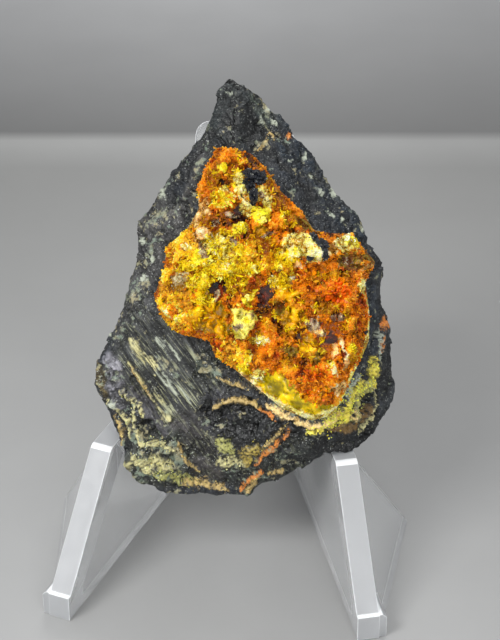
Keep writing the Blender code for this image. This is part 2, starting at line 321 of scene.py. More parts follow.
def modified(mesh: Mesh, kind: str, **settings: object) -> Mesh:
    """Runs one modifier on a mesh.

    Args:
        mesh: The mesh.
        kind: The kind of modifier.
        settings: Its settings.

    Returns:
        The result, as a plain mesh.
    """
    helper = bpy.data.objects.new("helper", mesh)
    bpy.context.scene.collection.objects.link(helper)
    modifier = helper.modifiers.new("helper", kind)
    for name, value in settings.items():
        setattr(modifier, name, value)
    graph = bpy.context.evaluated_depsgraph_get()
    found = bpy.data.meshes.new_from_object(helper.evaluated_get(graph))
    bpy.data.objects.remove(helper)
    return found


def dense_copy(node: str, levels: int) -> Mesh:
    """A merged and smoothly divided copy of a solid.

    Args:
        node: The solid's name in the frame.
        levels: How often its faces are divided.

    Returns:
        The copy, without materials or attributes.
    """
    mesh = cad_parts[node].data.copy()
    shape = bmesh.new()
    shape.from_mesh(mesh)
    bmesh.ops.remove_doubles(shape, verts=shape.verts, dist=WELD)
    shape.to_mesh(mesh)
    shape.free()
    mesh.materials.clear()
    for layer in list(mesh.attributes):
        if not layer.is_required and layer.name != "position":
            mesh.attributes.remove(layer)
    return modified(mesh, "SUBSURF", levels=levels, render_levels=levels)


def drop(surface: BVHTree, u: float, v: float) -> tuple:
    """Follows a ray from in front of the stone's face straight onto it.

    Args:
        surface: What the ray can meet.
        u, v: Where on the face.

    Returns:
        The place, normal, face and distance of the hit, or four times None.
    """
    start = PLANE.to_row(np.array((u, v, RAY_HEIGHT)))
    return surface.ray_cast(Vector(start), -Vector(PLANE.axes()[2]))


class Shader:
    """A small builder for procedural materials on a Principled shader."""

    def __init__(self, name: str, bumpy: float) -> None:
        """Starts a material.

        Args:
            name: Its name.
            bumpy: How deep its bump is, in metres, where it has one.
        """
        self.material = bpy.data.materials.new(name)
        self.material.use_nodes = True
        self.tree = self.material.node_tree
        self.shader = self.tree.nodes["Principled BSDF"]
        self.depth = bumpy

    def add(self, kind: str, **values: object) -> bpy.types.Node:
        """Adds a node.

        Args:
            kind: The kind of node.
            values: Its properties.

        Returns:
            The new node.
        """
        node = self.tree.nodes.new(kind)
        for name, value in values.items():
            setattr(node, name, value)
        return node

    def link(self, start: Socket, end: Socket) -> None:
        """Links two sockets."""
        self.tree.links.new(start, end)

    def constant(self, name: str, value: object) -> None:
        """Sets one of the shader's own sockets."""
        self.shader.inputs[name].default_value = value

    def drive(self, name: str, value: Socket) -> None:
        """Links a value to one of the shader's own sockets."""
        self.link(value, self.shader.inputs[name])

    def shaded(self, colour: Socket, share: Socket) -> None:
        """Makes a colour, lighter or darker by a share, the shader's own.

        Args:
            colour: The colour.
            share: What it is multiplied by.
        """
        node = self.add("ShaderNodeVectorMath", operation="SCALE")
        self.link(colour, node.inputs[0])
        self.link(share, node.inputs["Scale"])
        self.drive("Base Color", node.outputs[0])

    def glow(self, share: float) -> None:
        """Lets this share of the light into the mineral, which scatters it, red the farthest."""
        for name, value in (("Weight", share), ("Radius", (0.0009, 0.0005, 0.0001)), ("Scale", 1.0)):
            self.constant("Subsurface " + name, value)

    def attribute(self, name: str, output: str) -> Socket:
        """The value of a mesh attribute: its Color or its Fac."""
        return self.add("ShaderNodeAttribute", attribute_name=name).outputs[output]

    def place(self) -> Socket:
        """The place in the object's own coordinates."""
        return self.add("ShaderNodeTexCoord").outputs["Object"]

    def grain(self, pitch: float, detail: float = 3.0) -> Socket:
        """Noise in the object's own coordinates.

        Args:
            pitch: The size of its features in metres.
            detail: How many finer layers it has.

        Returns:
            The noise's value.
        """
        texture = self.add("ShaderNodeTexNoise")
        texture.inputs["Scale"].default_value = 1.0 / pitch
        texture.inputs["Detail"].default_value = detail
        self.link(self.place(), texture.inputs["Vector"])
        return texture.outputs["Fac"]

    def math(self, operation: str, *values: object) -> Socket:
        """A Math node.

        Args:
            operation: What it does.
            values: The sockets or numbers that it takes.

        Returns:
            The result.
        """
        node = self.add("ShaderNodeMath", operation=operation)
        for i, value in enumerate(values):
            if isinstance(value, Socket):
                self.link(value, node.inputs[i])
            else:
                node.inputs[i].default_value = value
        return node.outputs[0]

    def times(self, *values: object) -> Socket:
        """Two values multiplied."""
        return self.math("MULTIPLY", *values)

    def ramp(self, value: Socket, low: float, high: float, bottom: float = 0.0,
             top: float = 1.0) -> Socket:
        """Maps a range of a value onto another, without passing its ends.

        Args:
            value: The value.
            low, high: The range that it is read over.
            bottom, top: What the ends of that range become.

        Returns:
            The result.
        """
        node = self.add("ShaderNodeMapRange", clamp=True)
        self.link(value, node.inputs["Value"])
        for name, number in (("From Min", low), ("From Max", high),
                             ("To Min", bottom), ("To Max", top)):
            node.inputs[name].default_value = number
        return node.outputs["Result"]

    def blend(self, share: Socket, first: object,
              second: object) -> Socket:
        """Blends two colours.

        Args:
            share: How much of the second there is.
            first, second: The colours, or sockets that give them.

        Returns:
            The blend.
        """
        node = self.add("ShaderNodeMix", data_type="RGBA")
        self.link(share, node.inputs["Factor"])
        colours = [socket for socket in node.inputs if socket.type == "RGBA"]
        for socket, value in zip(colours, (first, second)):
            if isinstance(value, Socket):
                self.link(value, socket)
            else:
                socket.default_value = (*value, 1.0)
        return [socket for socket in node.outputs if socket.type == "RGBA"][0]

    def along(self, place: Socket, way: tuple) -> Socket:
        """Measures places along a direction.

        Args:
            place: The places.
            way: The direction, whose length is the inverse of the measure's unit.

        Returns:
            How far along it they lie.
        """
        node = self.add("ShaderNodeVectorMath", operation="DOT_PRODUCT")
        node.inputs[1].default_value = tuple(way)
        self.link(place, node.inputs[0])
        return node.outputs["Value"]

    def bump(self, height: Socket, strength: float = 1.0) -> None:
        """Presses a height into the shader's normal.

        Args:
            height: The height, 0 to 1.
            strength: How strongly it shows.
        """
        node = self.add("ShaderNodeBump")
        node.inputs["Strength"].default_value = strength
        node.inputs["Distance"].default_value = self.depth
        self.link(height, node.inputs["Height"])
        self.link(node.outputs["Normal"], self.shader.inputs["Normal"])


@dataclass(frozen=True)
class RockZone:
    """A part of the rock's face with its own colour and break.

    Args:
        spot: Where it is.
        colour: Its colour.
        speck, streak, grain: How much of each it has.
        shine: How glossy it is.
    """

    spot: Spot
    colour: tuple[float, float, float]
    speck: float = 0.2
    streak: float = 0.0
    grain: float = 0.5
    shine: float = 0.5


ROCK_BASE = RockZone(Spot(0, 0, 1, 1), paint(44, 48, 54), 0.26, 0.0, 0.5, 0.55)
STRIATION_TURN = -54.0
ROCK_ZONES = {
    "tip": RockZone(Spot(-1.5, 31.0, 6.5, 7.5), paint(28, 36, 37), 0.14, 0.0, 0.6, 0.7),
    "tip ridge": RockZone(Spot(3.2, 28.4, 1.6, 6.0, 36.0), paint(74, 82, 74), 0.62, 0.0, 0.6, 0.5),
    # Painted shade: the tip's hollow is darker than the tip around it.
    "tip hollow": RockZone(Spot(-1.0, 27.2, 3.4, 2.2, -20.0), paint(16, 21, 22), 0.08, 0.0, 0.6, 0.9),
    "right shoulder": RockZone(Spot(11.0, 20.0, 5.0, 12.5, 38.0), paint(28, 40, 52), 0.16, 0.0, 0.5, 0.7),
    "shoulder edge": RockZone(Spot(14.4, 17.4, 1.3, 9.0, 38.0), paint(82, 90, 88), 0.75, 0.0, 0.5, 0.5),
    "shoulder foot": RockZone(Spot(8.2, 17.4, 1.2, 8.0, 38.0), paint(20, 26, 34), 0.05, 0.0, 0.4, 0.8),
    "left flank": RockZone(Spot(-13.0, 14.0, 4.6, 14.0, -24.0), paint(82, 80, 78), 0.62, 0.0, 1.0, 0.6),
    "flank shade": RockZone(Spot(-9.4, 22.0, 1.8, 6.5, -24.0), paint(26, 30, 36), 0.20, 0.0, 0.7, 0.8),
    "left middle": RockZone(Spot(-17.0, 2.0, 3.6, 6.0), paint(80, 80, 80), 0.70, 0.1, 0.9, 0.6),
    "slickenside": RockZone(
        Spot(-11.2, -8.0, 10.5, 6.4, STRIATION_TURN), paint(76, 78, 76), 0.16, 1.0, 0.15, 0.5),
    "mauve slope": RockZone(
        Spot(-7.2, -18.4, 6.5, 2.9, STRIATION_TURN), paint(84, 80, 80), 0.22, 0.35, 0.35, 0.5),
    "silver corner": RockZone(Spot(-19.5, -8.9, 1.9, 4.6, 10.0), paint(158, 156, 164), 0.30, 0.1, 0.9, 1.0),
    "left edge": RockZone(Spot(-21.6, -8.6, 0.7, 3.2, 8.0), paint(140, 120, 70), 0.80, 0.0, 0.8, 0.2),
    "green mottle": RockZone(Spot(-5.9, -6.4, 2.3, 2.6), paint(74, 82, 72), 0.85, 0.1, 0.6, 0.5),
    "lower left bulge": RockZone(Spot(-13.4, -19.6, 5.6, 4.8), paint(62, 66, 60), 0.95, 0.1, 0.8, 0.4),
    # Painted shade under the crust, darker than the rock around it.
    "under the crust": RockZone(Spot(1.5, -15.4, 7.5, 3.4, -14.0), paint(16, 18, 20), 0.10, 0.0, 0.8, 1.0),
    "middle break": RockZone(Spot(-4.6, -12.6, 3.0, 3.2), paint(52, 52, 58), 0.30, 0.1, 0.9, 1.0),
    "bottom": RockZone(Spot(3.0, -20.5, 8.0, 3.6, 18.0), paint(42, 46, 44), 0.42, 0.15, 0.5, 0.6),
    "right rim": RockZone(Spot(19.4, -7.0, 1.8, 13.0, 4.0), paint(46, 50, 53), 0.12, 0.0, 0.4, 0.7),
    "rim inside": RockZone(Spot(17.4, -0.5, 0.8, 6.0, 4.0), paint(40, 48, 58), 0.20, 0.0, 0.4, 1.0),
    # Painted shade on the lower right, which faces down.
    "lower right": RockZone(Spot(14.0, -17.0, 6.5, 3.6, 30.0), paint(18, 21, 24), 0.06, 0.0, 0.4, 0.7),
}


# Corners of the rock that stand further out than the solid, with their height in millimetres.
SWELLS = {
    "lower right corner": (Spot(14.6, -19.2, 4.6, 2.6, 25.0), 1.6),
    "lower left corner": (Spot(-16.2, -21.6, 4.0, 2.8, -50.0), 1.5),
    "bottom left": (Spot(-10.0, -24.8, 4.6, 1.8), 1.0),
}


class Fray(Enum):
    """How a vein breaks up: not at all, into crumbs, or into brush strokes along the striations."""

    WHOLE = 0
    CRUMBS = 1
    STROKES = 2


@dataclass(frozen=True)
class Vein:
    """A coloured band on the rock, in millimetres.

    Args:
        route: The places that it passes.
        half: Its half width.
        colour: Its colour.
        rise: How far it stands up.
        crumbs: How many grains lie on a square millimetre of it.
        fray: How it breaks up.
    """

    route: tuple
    half: float
    colour: tuple[float, float, float]
    rise: float = 0.0
    crumbs: float = 9.0
    fray: Fray = Fray.CRUMBS


TAN = paint(200, 172, 108)
RUST = paint(224, 138, 58)
STRAW = paint(212, 204, 146)
LIME = paint(178, 176, 102)
SULPHUR = paint(255, 236, 92)
CHALK = paint(186, 192, 172)
# Painted shade: the near-black laid into pits, cracks, gaps and along the crust's foot, each also pressed
# in.
PIT_SHADE = paint(11, 12, 14)
UMBER = paint(120, 92, 46)
DRAPE = paint(250, 216, 146)
STROKES, WHOLE = Fray.STROKES, Fray.WHOLE
VEINS = {
    "upper streak": Vein(((-17, -2.6), (-15.4, -4.6), (-13.2, -7.2)), 0.62, STRAW, 0.2, 0, STROKES),
    "upper streak 2": Vein(((-16.6, -3.6), (-15, -5.8), (-13.4, -7.8)), 0.34, STRAW, 0.1, 0, STROKES),
    "upper streak tail": Vein(((-13.4, -7), (-11.6, -9.4)), 0.30, CHALK, 0.1, 0, STROKES),
    "upper right stroke": Vein(((-13.2, -2.6), (-12, -4.6)), 0.35, CHALK, 0.1, 0, STROKES),
    "lower streak": Vein(
        ((-17.2, -6.2), (-15.2, -8.8), (-13.2, -11.8), (-11.6, -14.2)), 0.55, STRAW, 0.4, 0, STROKES),
    "lower streak edge": Vein(((-17, -6.6), (-15.4, -9), (-14, -11.2)), 0.22, TAN, 0.3, 3, WHOLE),
    "lower streak gap": Vein(
        ((-16.6, -8.4), (-15, -10.8), (-13.2, -13.6)), 0.55, PIT_SHADE, -0.7, 0, WHOLE),
    "shade below": Vein(
        ((-16.8, -10), (-14.6, -13), (-12.2, -16.2)), 0.9, paint(70, 68, 72), -0.1, 0, WHOLE),
    "fine stroke 1": Vein(((-11.6, -3.4), (-9.4, -6.6)), 0.30, CHALK, 0.1, 0, STROKES),
    "fine stroke 2": Vein(((-10.8, -8.2), (-8.6, -11.8)), 0.26, CHALK, 0.1, 0, STROKES),
    "fine stroke 3": Vein(((-12.4, -7.6), (-10, -11.2)), 0.26, CHALK, 0.1, 0, STROKES),
    "left net 1": Vein(((-20.2, -11.6), (-18.8, -13.2), (-17.6, -14.4), (-17.2, -17)), 0.30, STRAW, 0.3),
    "left net 2": Vein(((-18.6, -10.4), (-17.4, -11.4), (-15.8, -12.2), (-15.4, -14)), 0.30, STRAW, 0.3),
    "left net 3": Vein(((-19.4, -13.8), (-18.6, -15.6), (-18.4, -17.8)), 0.30, TAN, 0.3),
    "left net 4": Vein(((-16.6, -12.6), (-16.8, -14.6), (-16, -16.8), (-15.6, -18.2)), 0.30, STRAW, 0.3),
    "left net 5": Vein(((-15.6, -17.8), (-13.2, -17.6), (-11.4, -18.4)), 0.55, STRAW, 0.2, 14),
    "left net 6": Vein(((-16.6, -20.2), (-14, -20.4), (-11.4, -21)), 0.85, STRAW, 0.2, 12),
    "left net 7": Vein(((-16.8, -19.2), (-15.2, -21.4), (-12.8, -22.8)), 0.40, STRAW, 0.2, 12),
    "left net 8": Vein(((-13.6, -22.4), (-10.8, -22.6), (-8.2, -23.4)), 0.75, LIME, 0.1, 9),
    "bulge hole 1": Vein(((-18.2, -16.2), (-17.6, -18.6)), 0.5, PIT_SHADE, -0.5, 0, WHOLE),
    "bulge hole 2": Vein(((-12.8, -19.6), (-11.4, -19.8)), 0.45, PIT_SHADE, -0.5, 0, WHOLE),
    "spike": Vein(((-10.4, -17.6), (-9.7, -19.4), (-8.8, -20.8), (-7.2, -22)), 0.24, TAN, 0.2),
    "curved rim": Vein(
        ((-5, -12.4), (-3.8, -11.6), (-1.8, -11.2), (0.2, -11.6), (1.4, -12.4)),
        0.36, TAN, 0.7, 4, WHOLE),
    "curved rim shade": Vein(
        ((-4.4, -13.4), (-2.8, -12.5), (-1.2, -12.2), (0.6, -12.8)), 0.55, PIT_SHADE, -0.7, 0, WHOLE),
    "curved rim end": Vein(((1, -12.1), (2.4, -13), (3.6, -14.2)), 0.18, RUST, 0.4, 6, WHOLE),
    "thin line": Vein(((-4.6, -8), (-2.4, -9), (0, -9.6)), 0.28, TAN, 0.1),
    "under line": Vein(((-1.6, -7.8), (1, -9.8), (2.6, -11.2)), 0.26, TAN, 0.1),
    "tuft 1": Vein(((-4.4, -17.2), (-3.6, -18.4), (-2.8, -19)), 0.95, LIME, 0.1, 7),
    "tuft 2": Vein(((-4.6, -20.6), (-2.8, -20.4), (-0.8, -20.6)), 0.75, STRAW, 0.1, 8),
    "rust vein 1": Vein(
        ((5.4, -15.2), (5, -16.6), (3.4, -17.8), (2, -19.4), (0.8, -20.6)), 0.30, RUST, 0.4, 12, WHOLE),
    "rust vein 1 side": Vein(((5, -15), (3.6, -16.6), (2, -17.8)), 0.30, TAN, 0.1, 10),
    "tan patch": Vein(((1.6, -18.2), (-0.6, -19.4), (-0.4, -20.6)), 0.9, paint(176, 154, 76), 0.1),
    "rust vein 2": Vein(((1.8, -21.8), (0.2, -22.8), (-1.4, -24.6)), 0.30, RUST, 0.4, 12, WHOLE),
    "rust vein 2 side": Vein(((0.8, -22.8), (-0.4, -25)), 0.50, TAN, 0.2, 12),
    "bottom edge 1": Vein(((-9.8, -23.4), (-6.4, -23.6), (-3.4, -24.6)), 0.50, TAN, 0.1),
    "bottom edge 2": Vein(((2.6, -22), (5, -21.6)), 0.30, TAN, 0.1),
    "tip vein": Vein(
        ((0.8, 24), (1.9, 24.6), (2.6, 26), (3, 27), (3.8, 26)), 0.14, TAN, 0.1, 5, WHOLE),
    "tip speck": Vein(((5.4, 26.2), (5.9, 26.6)), 0.30, RUST, 0.1, 16, WHOLE),
    "rim spots 1": Vein(((19.2, 0.4), (19.2, -1.6)), 0.30, RUST, 0.1, 10, WHOLE),
    "rim spots 2": Vein(((19, -2.4), (18.8, -4.6)), 0.26, RUST, 0.1, 12),
    "rim chalk": Vein(((18.4, -1.2), (18.6, -3.6), (18.8, -5.8)), 0.28, CHALK, 0.1, 10),
    "rim band 1": Vein(((17.4, -5.6), (17.6, -7.4), (17.4, -9.2)), 0.70, SULPHUR, 0.3, 16),
    "rim band 2": Vein(
        ((17, -8.6), (15.8, -9.8), (14.4, -10.8), (13.4, -12.2)), 1.05, SULPHUR, 0.4, 40),
    "rim band 3": Vein(
        ((13.4, -12.2), (13.4, -13.4), (11.6, -14), (9.8, -15.2)), 1.10, SULPHUR, 0.4, 40),
    "rim band 4": Vein(((9.8, -15.4), (8, -15.8)), 0.42, SULPHUR, 0.3, 24),
    "rim ring": Vein(((17.8, -9.6), (18.2, -12.4), (17, -14.8), (15.4, -16.2)), 0.24, STRAW, 0.3, 12),
    "rim band 5": Vein(((17, -8.4), (16.4, -10), (15.6, -12), (14.8, -14.2)), 0.80, LIME, 0.2, 14),
    "rim cream": Vein(((14.6, -12.8), (15, -14.2)), 0.6, DRAPE, 0.2, 16),
    "rim cavity": Vein(((16.8, -11), (16.2, -12.4)), 0.80, PIT_SHADE, -1.1, 0, WHOLE),
    "rim olive": Vein(((17.4, -12.6), (16.2, -14.4)), 0.65, UMBER, 0, 8),
    "rim hollow": Vein(((15.6, -15), (13.4, -15.6), (11.4, -15.6)), 0.60, UMBER, -0.2, 4, WHOLE),
    "crust drape 1": Vein(((2.6, -11.9), (5.2, -13.7), (8.4, -14.8)), 0.50, DRAPE, 0.4, 16, WHOLE),
    "crust drape 2": Vein(((8.4, -14.8), (11, -14.4), (12.9, -12.8)), 0.36, DRAPE, 0.3, 12, WHOLE),
    "crust drape 3": Vein(((13.6, -11), (15.2, -7.6)), 0.45, CHALK, 0.2, 12),
    "dark pit": Vein(((-14.8, -15.2), (-14, -16.6)), 0.85, PIT_SHADE, -1.2, 0, WHOLE),
    "crust foot": Vein(
        ((-8, -2.8), (-5.4, -4.4), (-3.8, -6.6), (-1, -8.6), (2.2, -11.2)),
        0.60, PIT_SHADE, -0.4, 0, WHOLE),
    "upper crack": Vein(((-5.6, 26.6), (-3.6, 24.8), (-2, 24.2)), 0.22, PIT_SHADE, -0.4, 0, WHOLE),
    "middle crack": Vein(((-5.6, -10.4), (-6.2, -12.6), (-5.2, -14.8)), 0.55, PIT_SHADE, -0.5, 0, WHOLE),
    "low crack": Vein(((5.8, -14.6), (4.6, -16.4), (4, -19.4)), 0.35, PIT_SHADE, -0.4, 0, WHOLE),
    "right edge crack": Vein(((17.8, -8), (18.4, -12)), 0.25, PIT_SHADE, -0.4, 0, WHOLE),
}

# Small pale chips and glints on the rock.
CHIPS = {
    "tip 1": Spot(2.6, 30.4, 0.35, 0.45), "tip 2": Spot(-2.6, 32.4, 0.6, 0.2, -30),
    "tip 3": Spot(3.7, 28.6, 0.9, 0.25, -38), "tip 4": Spot(1.6, 28.4, 0.3, 0.7, 20),
    "shoulder 1": Spot(7.6, 23.5, 0.25, 0.8, -10), "shoulder 2": Spot(5.7, 22.9, 0.3, 0.3),
    "shoulder 3": Spot(9.9, 18.2, 0.9, 0.28, -35), "shoulder 4": Spot(12.2, 18.3, 0.4, 0.6),
    "shoulder 5": Spot(11.7, 14.9, 0.4, 0.6), "shoulder 6": Spot(13.2, 14.4, 0.4, 0.7),
    "shoulder 7": Spot(16.2, 13, 0.5, 0.5), "shoulder 8": Spot(8.6, 20.6, 0.5, 0.25, -40),
    "left 1": Spot(-12.4, 18, 0.4, 1.1, -12), "left 2": Spot(-15.2, 6.2, 0.35, 0.9),
    "left 3": Spot(-14, 9, 0.3, 0.8, 10), "left 4": Spot(-15.8, 11.6, 0.4, 0.5),
    "glint 1": Spot(-19.8, -12.4, 0.8, 0.45), "glint 2": Spot(-20.2, -2, 0.3, 0.5),
}


@dataclass(frozen=True)
class RockFinish:
    """Blue-black rock with pale specks and streaks, painted glints and painted shade in its grooves, glossy
    where it sparkles.

    Args:
        green, tan: The ends of the specks' colour.
        glint: The colour of the finest sparkle, painted into the colour as a highlight.
        streak, groove_shade: The colours of the striations, and the painted shade in the grooves between
            them.
        specular: How strongly it reflects.
    """

    green: tuple = paint(134, 148, 130)
    tan: tuple = paint(178, 168, 128)
    glint: tuple = paint(200, 204, 196)
    streak: tuple = paint(172, 174, 140)
    groove_shade: tuple = paint(26, 28, 30)
    specular: float = 0.55

    def material(self) -> Material:
        """Makes the material.

        Returns:
            The material.
        """
        shader = Shader("uraninite", 0.0003)
        rock = shader.attribute("rock", "Color")
        speck = shader.attribute("speck", "Fac")
        level = shader.math("MULTIPLY_ADD", shader.grain(0.0030, 4.0), 0.9, shader.grain(0.0007, 9.0))
        level = shader.math("MULTIPLY_ADD", speck, 0.22, level)
        pale = shader.times(shader.ramp(level, 1.14, 1.25), 0.66)
        tint = shader.blend(shader.ramp(shader.grain(0.0022), 0.42, 0.6), self.green, self.tan)
        base = shader.blend(pale, rock, tint)
        # Painted highlights: tiny pale dots of the finest sparkle.
        glint = shader.ramp(shader.grain(0.00024, 2.0), 0.62, 0.70, 0.0, 0.75)
        glint = shader.times(glint, shader.math("MULTIPLY_ADD", speck, 0.6, 0.35))
        base = shader.blend(glint, base, self.glint)
        axes = PLANE.axes()
        turn = math.radians(STRIATION_TURN)
        along = axes[0] * math.cos(turn) + axes[1] * math.sin(turn)
        place = shader.place()
        ways = ((along, 0.0042), (np.cross(axes[2], along), 0.00030), (axes[2], 0.001))
        combine = shader.add("ShaderNodeCombineXYZ")
        for (direction, pitch), end in zip(ways, combine.inputs):
            shader.link(shader.along(place, direction / pitch), end)
        lines = shader.add("ShaderNodeTexNoise")
        lines.inputs["Scale"].default_value = 1.0
        lines.inputs["Detail"].default_value = 5.0
        lines.inputs["Distortion"].default_value = 0.7
        shader.link(combine.outputs[0], lines.inputs["Vector"])
        streak = shader.attribute("streak", "Fac")
        streaks = shader.times(shader.ramp(lines.outputs["Fac"], 0.52, 0.64), streak)
        patches = shader.ramp(shader.grain(0.0036, 3.0), 0.42, 0.60, 0.12, 0.78)
        base = shader.blend(shader.times(streaks, patches), base, self.streak)
        # Painted shade in the grooves between the striations, which the bump presses lower.
        groove_shading = shader.times(shader.ramp(lines.outputs["Fac"], 0.46, 0.36), streak)
        base = shader.blend(shader.times(groove_shading, 0.75), base, self.groove_shade)
        shader.drive("Base Color", base)
        shine = shader.attribute("shine", "Fac")
        sparkle = shader.math("MULTIPLY_ADD", shine, -0.42, 0.74)
        rough = shader.math("MULTIPLY_ADD", shader.grain(0.0005), 0.5, sparkle)
        rough = shader.math("ADD", shader.times(pale, 0.25), rough)
        shader.drive("Roughness", shader.ramp(rough, 0.35, 1.1, 0.16, 0.85))
        shader.constant("Specular IOR Level", self.specular)
        ridges = shader.times(lines.outputs["Fac"], streak)
        shader.bump(shader.math("ADD", shader.grain(0.00035, 5.0), ridges), 0.7)
        return shader.material


@dataclass(frozen=True)
class UraniniteRock:
    """The dark fragment that carries the crust.

    Args:
        node: The solid that it dresses.
        smooth_levels: How often the solid's faces are divided.
        most_rise: The greatest height of its relief, in millimetres.
        most_fall: The greatest depth of its relief, and rim_fall the greatest near its outline.
        covered: The part under the crust, whose faces stay coarse.
    """

    node: str = "uraninite_matrix"
    smooth_levels: int = 2
    most_rise: float = 0.5
    most_fall: float = 0.9
    rim_fall: float = 0.15
    covered: Spot = Spot(2.0, 4.0, 12.5, 15.0)

    def build(self) -> Piece:
        """Makes the rock and puts it in place of its solid.

        Returns:
            The piece.
        """
        mesh = dense_copy(self.node, self.smooth_levels)
        self.refine_front(mesh)
        detail = Detail(mesh)
        self.shape_and_colour(detail)
        piece = add_piece("uraninite_rock", mesh)
        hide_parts(self.node)
        mesh.materials.append(RockFinish().material())
        return piece

    def refine_front(self, mesh: Mesh) -> None:
        """Divides the faces that the crust leaves bare on the side that faces the viewer.

        Args:
            mesh: The rock's mesh.
        """
        out = Vector(PLANE.axes()[2])
        shape = bmesh.new()
        shape.from_mesh(mesh)
        middles = np.array([face.calc_center_median() for face in shape.faces])
        places = PLANE.of_row(middles)
        covered = self.covered.reach(places[:, 0], places[:, 1]) < 0.8
        edges = set()
        for face, hidden in zip(shape.faces, covered):
            if not hidden and face.normal.dot(out) > 0.20:
                edges.update(face.edges)
        bmesh.ops.subdivide_edges(shape, edges=list(edges), cuts=1, use_grid_fill=True)
        shape.to_mesh(mesh)
        shape.free()

    def shape_and_colour(self, detail: Detail) -> None:
        """Breaks the surface up and paints its zones, veins and chips, with painted shade where it lies low
        and in its cracks, and painted light on its raised cells.

        Args:
            detail: The rock's vertices.
        """
        places = PLANE.of_row(detail.points)
        u, v = places[:, 0], places[:, 1]
        facing = detail.normals @ PLANE.axes()[2]
        front = smooth(-0.15, 0.25, facing)
        warp_u = u + 0.9 * fractal(places, 3.2, 1.0) + 0.3 * fractal(places, 0.9, 1.5)
        warp_v = v + 0.9 * fractal(places, 3.2, 2.0) + 0.3 * fractal(places, 0.9, 2.5)
        colour = np.tile(np.array(ROCK_BASE.colour), (len(u), 1))
        names = ("speck", "streak", "grain", "shine")
        speck, streak, grain, shine = rows = [np.full(len(u), getattr(ROCK_BASE, name)) for name in names]
        for zone in ROCK_ZONES.values():
            share = front * (1.0 - smooth(0.75, 1.1, zone.spot.reach(warp_u, warp_v)))
            colour = mixed(colour, np.array(zone.colour), share)
            for name, row in zip(names, rows):
                row += (getattr(zone, name) - row) * share
        rise, painted_facet_light = self.relief(places, streak, grain)
        # Painted shade: darker where the relief lies low.
        colour *= (0.18 + 0.92 * smooth(-0.45, 0.45, rise))[:, None]
        # Painted light: brighter where the cell or ridge stands higher, partly also a random tone for each
        # cell.
        colour *= (0.32 + 0.72 * painted_facet_light)[:, None]
        shade = fractal(places, 1.6, 8.0, 4)
        colour *= (1.0 + 0.55 * shade)[:, None]
        # Painted shade in thin cracks, which are also pressed in a little.
        crack = 1.0 - smooth(0.0, 0.05, np.abs(fractal(places, 4.5, 18.0, 4)))
        rise = (rise - 0.25 * crack * (1.0 - streak)) * (0.45 + 0.55 * smooth(-0.05, 0.45, facing))
        colour *= (1.0 - 0.65 * crack * (1.0 - 0.7 * streak))[:, None]
        rim = 1.0 - smooth(0.25, 0.6, np.abs(facing))
        rise = np.maximum(rise, -self.most_fall + (self.most_fall - self.rim_fall) * rim)
        for swell, height in SWELLS.values():
            rise += height * (0.2 + 0.8 * rim) * (1.0 - smooth(0.3, 1.1, swell.reach(u, v)))
        speck = np.clip(speck + 0.45 * fractal(places, 2.4, 9.0, 3), 0.0, 1.0)
        rise = self.add_veins(places, front, colour, rise, speck)
        half_u = (u + warp_u) / 2 + 0.35 * fractal(places, 0.4, 16.0, 2)
        half_v = (v + warp_v) / 2 + 0.35 * fractal(places, 0.4, 17.0, 2)
        for chip in CHIPS.values():
            share = front * (1.0 - smooth(0.6, 1.1, chip.reach(half_u, half_v)))
            colour[:] = mixed(colour, np.array(CHALK), share * 0.85)
            rise += 0.12 * share
        detail.place(detail.points + detail.normals * (rise * MM)[:, None])
        detail.colour("rock", colour)
        detail.number("speck", speck)
        detail.number("streak", streak * front)
        detail.number("shine", shine)

    def lined(self, places: Array) -> Array:
        """Draws places out, so that noise read there runs along the striations.

        Args:
            places: The places.

        Returns:
            The places along, across and away from the face.
        """
        turn = math.radians(STRIATION_TURN)
        along = places[:, 0] * math.cos(turn) + places[:, 1] * math.sin(turn)
        across = places[:, 1] * math.cos(turn) - places[:, 0] * math.sin(turn)
        return np.column_stack((along * 0.14, across, places[:, 2] * 0.5))

    def relief(self, places: Array, streak: Array,
               grain: Array) -> tuple[Array, Array]:
        """The broken rock, its grain and its striations.

        Args:
            places: The vertices, in the stone's plane.
            streak: How striated each is.
            grain: How grainy each is.

        Returns:
            How far each stands up, in millimetres, and a painted light for each cell or ridge, 0 to 1,
            brighter where it stands higher.
        """
        u, v = places[:, 0], places[:, 1]
        askew = np.column_stack((0.8 * u + 0.6 * v, 0.8 * v - 0.6 * u, places[:, 2]))
        bent = askew + 0.30 * fractal(places, 1.5, 19.0, 2)[:, None]
        blocks = Cells.at(bent, 2.6, 1.0, "MANHATTAN")
        small = Cells.at(bent, 0.85, 2.0, "MANHATTAN")
        lined = self.lined(places)
        ridges = fractal(lined, 0.75, 5.0, 4)
        smear = fractal(lined, 2.2, 6.0, 2)
        patchy = smooth(-0.3, 0.35, fractal(places, 3.0, 6.5, 2))
        rough = 1.3 * blocks.tilt + 0.5 * (blocks.value - 0.5)
        chipped = 0.8 * small.tilt + 0.34 * (small.value - 0.5)
        pits = (small.value > 0.70) * smooth(0.0, 0.30, 0.42 - small.middle)
        fine = patchy * chipped + 0.42 * fractal(places, 0.8, 7.0, 5) - 0.34 * pits
        rise = (1.0 - 0.75 * streak) * (rough + grain * fine)
        rise = rise + streak * (0.40 * ridges + 0.28 * smear)
        rise = np.where(rise > 0.0, self.most_rise * np.tanh(rise / self.most_rise), rise)
        # The painted light follows the cells' own values, which also raise them, and along the striations
        # the ridges' height.
        plain = 0.5 * blocks.value + 0.5 * small.value
        return rise - 0.12, plain + (0.5 + 0.55 * ridges - plain) * streak

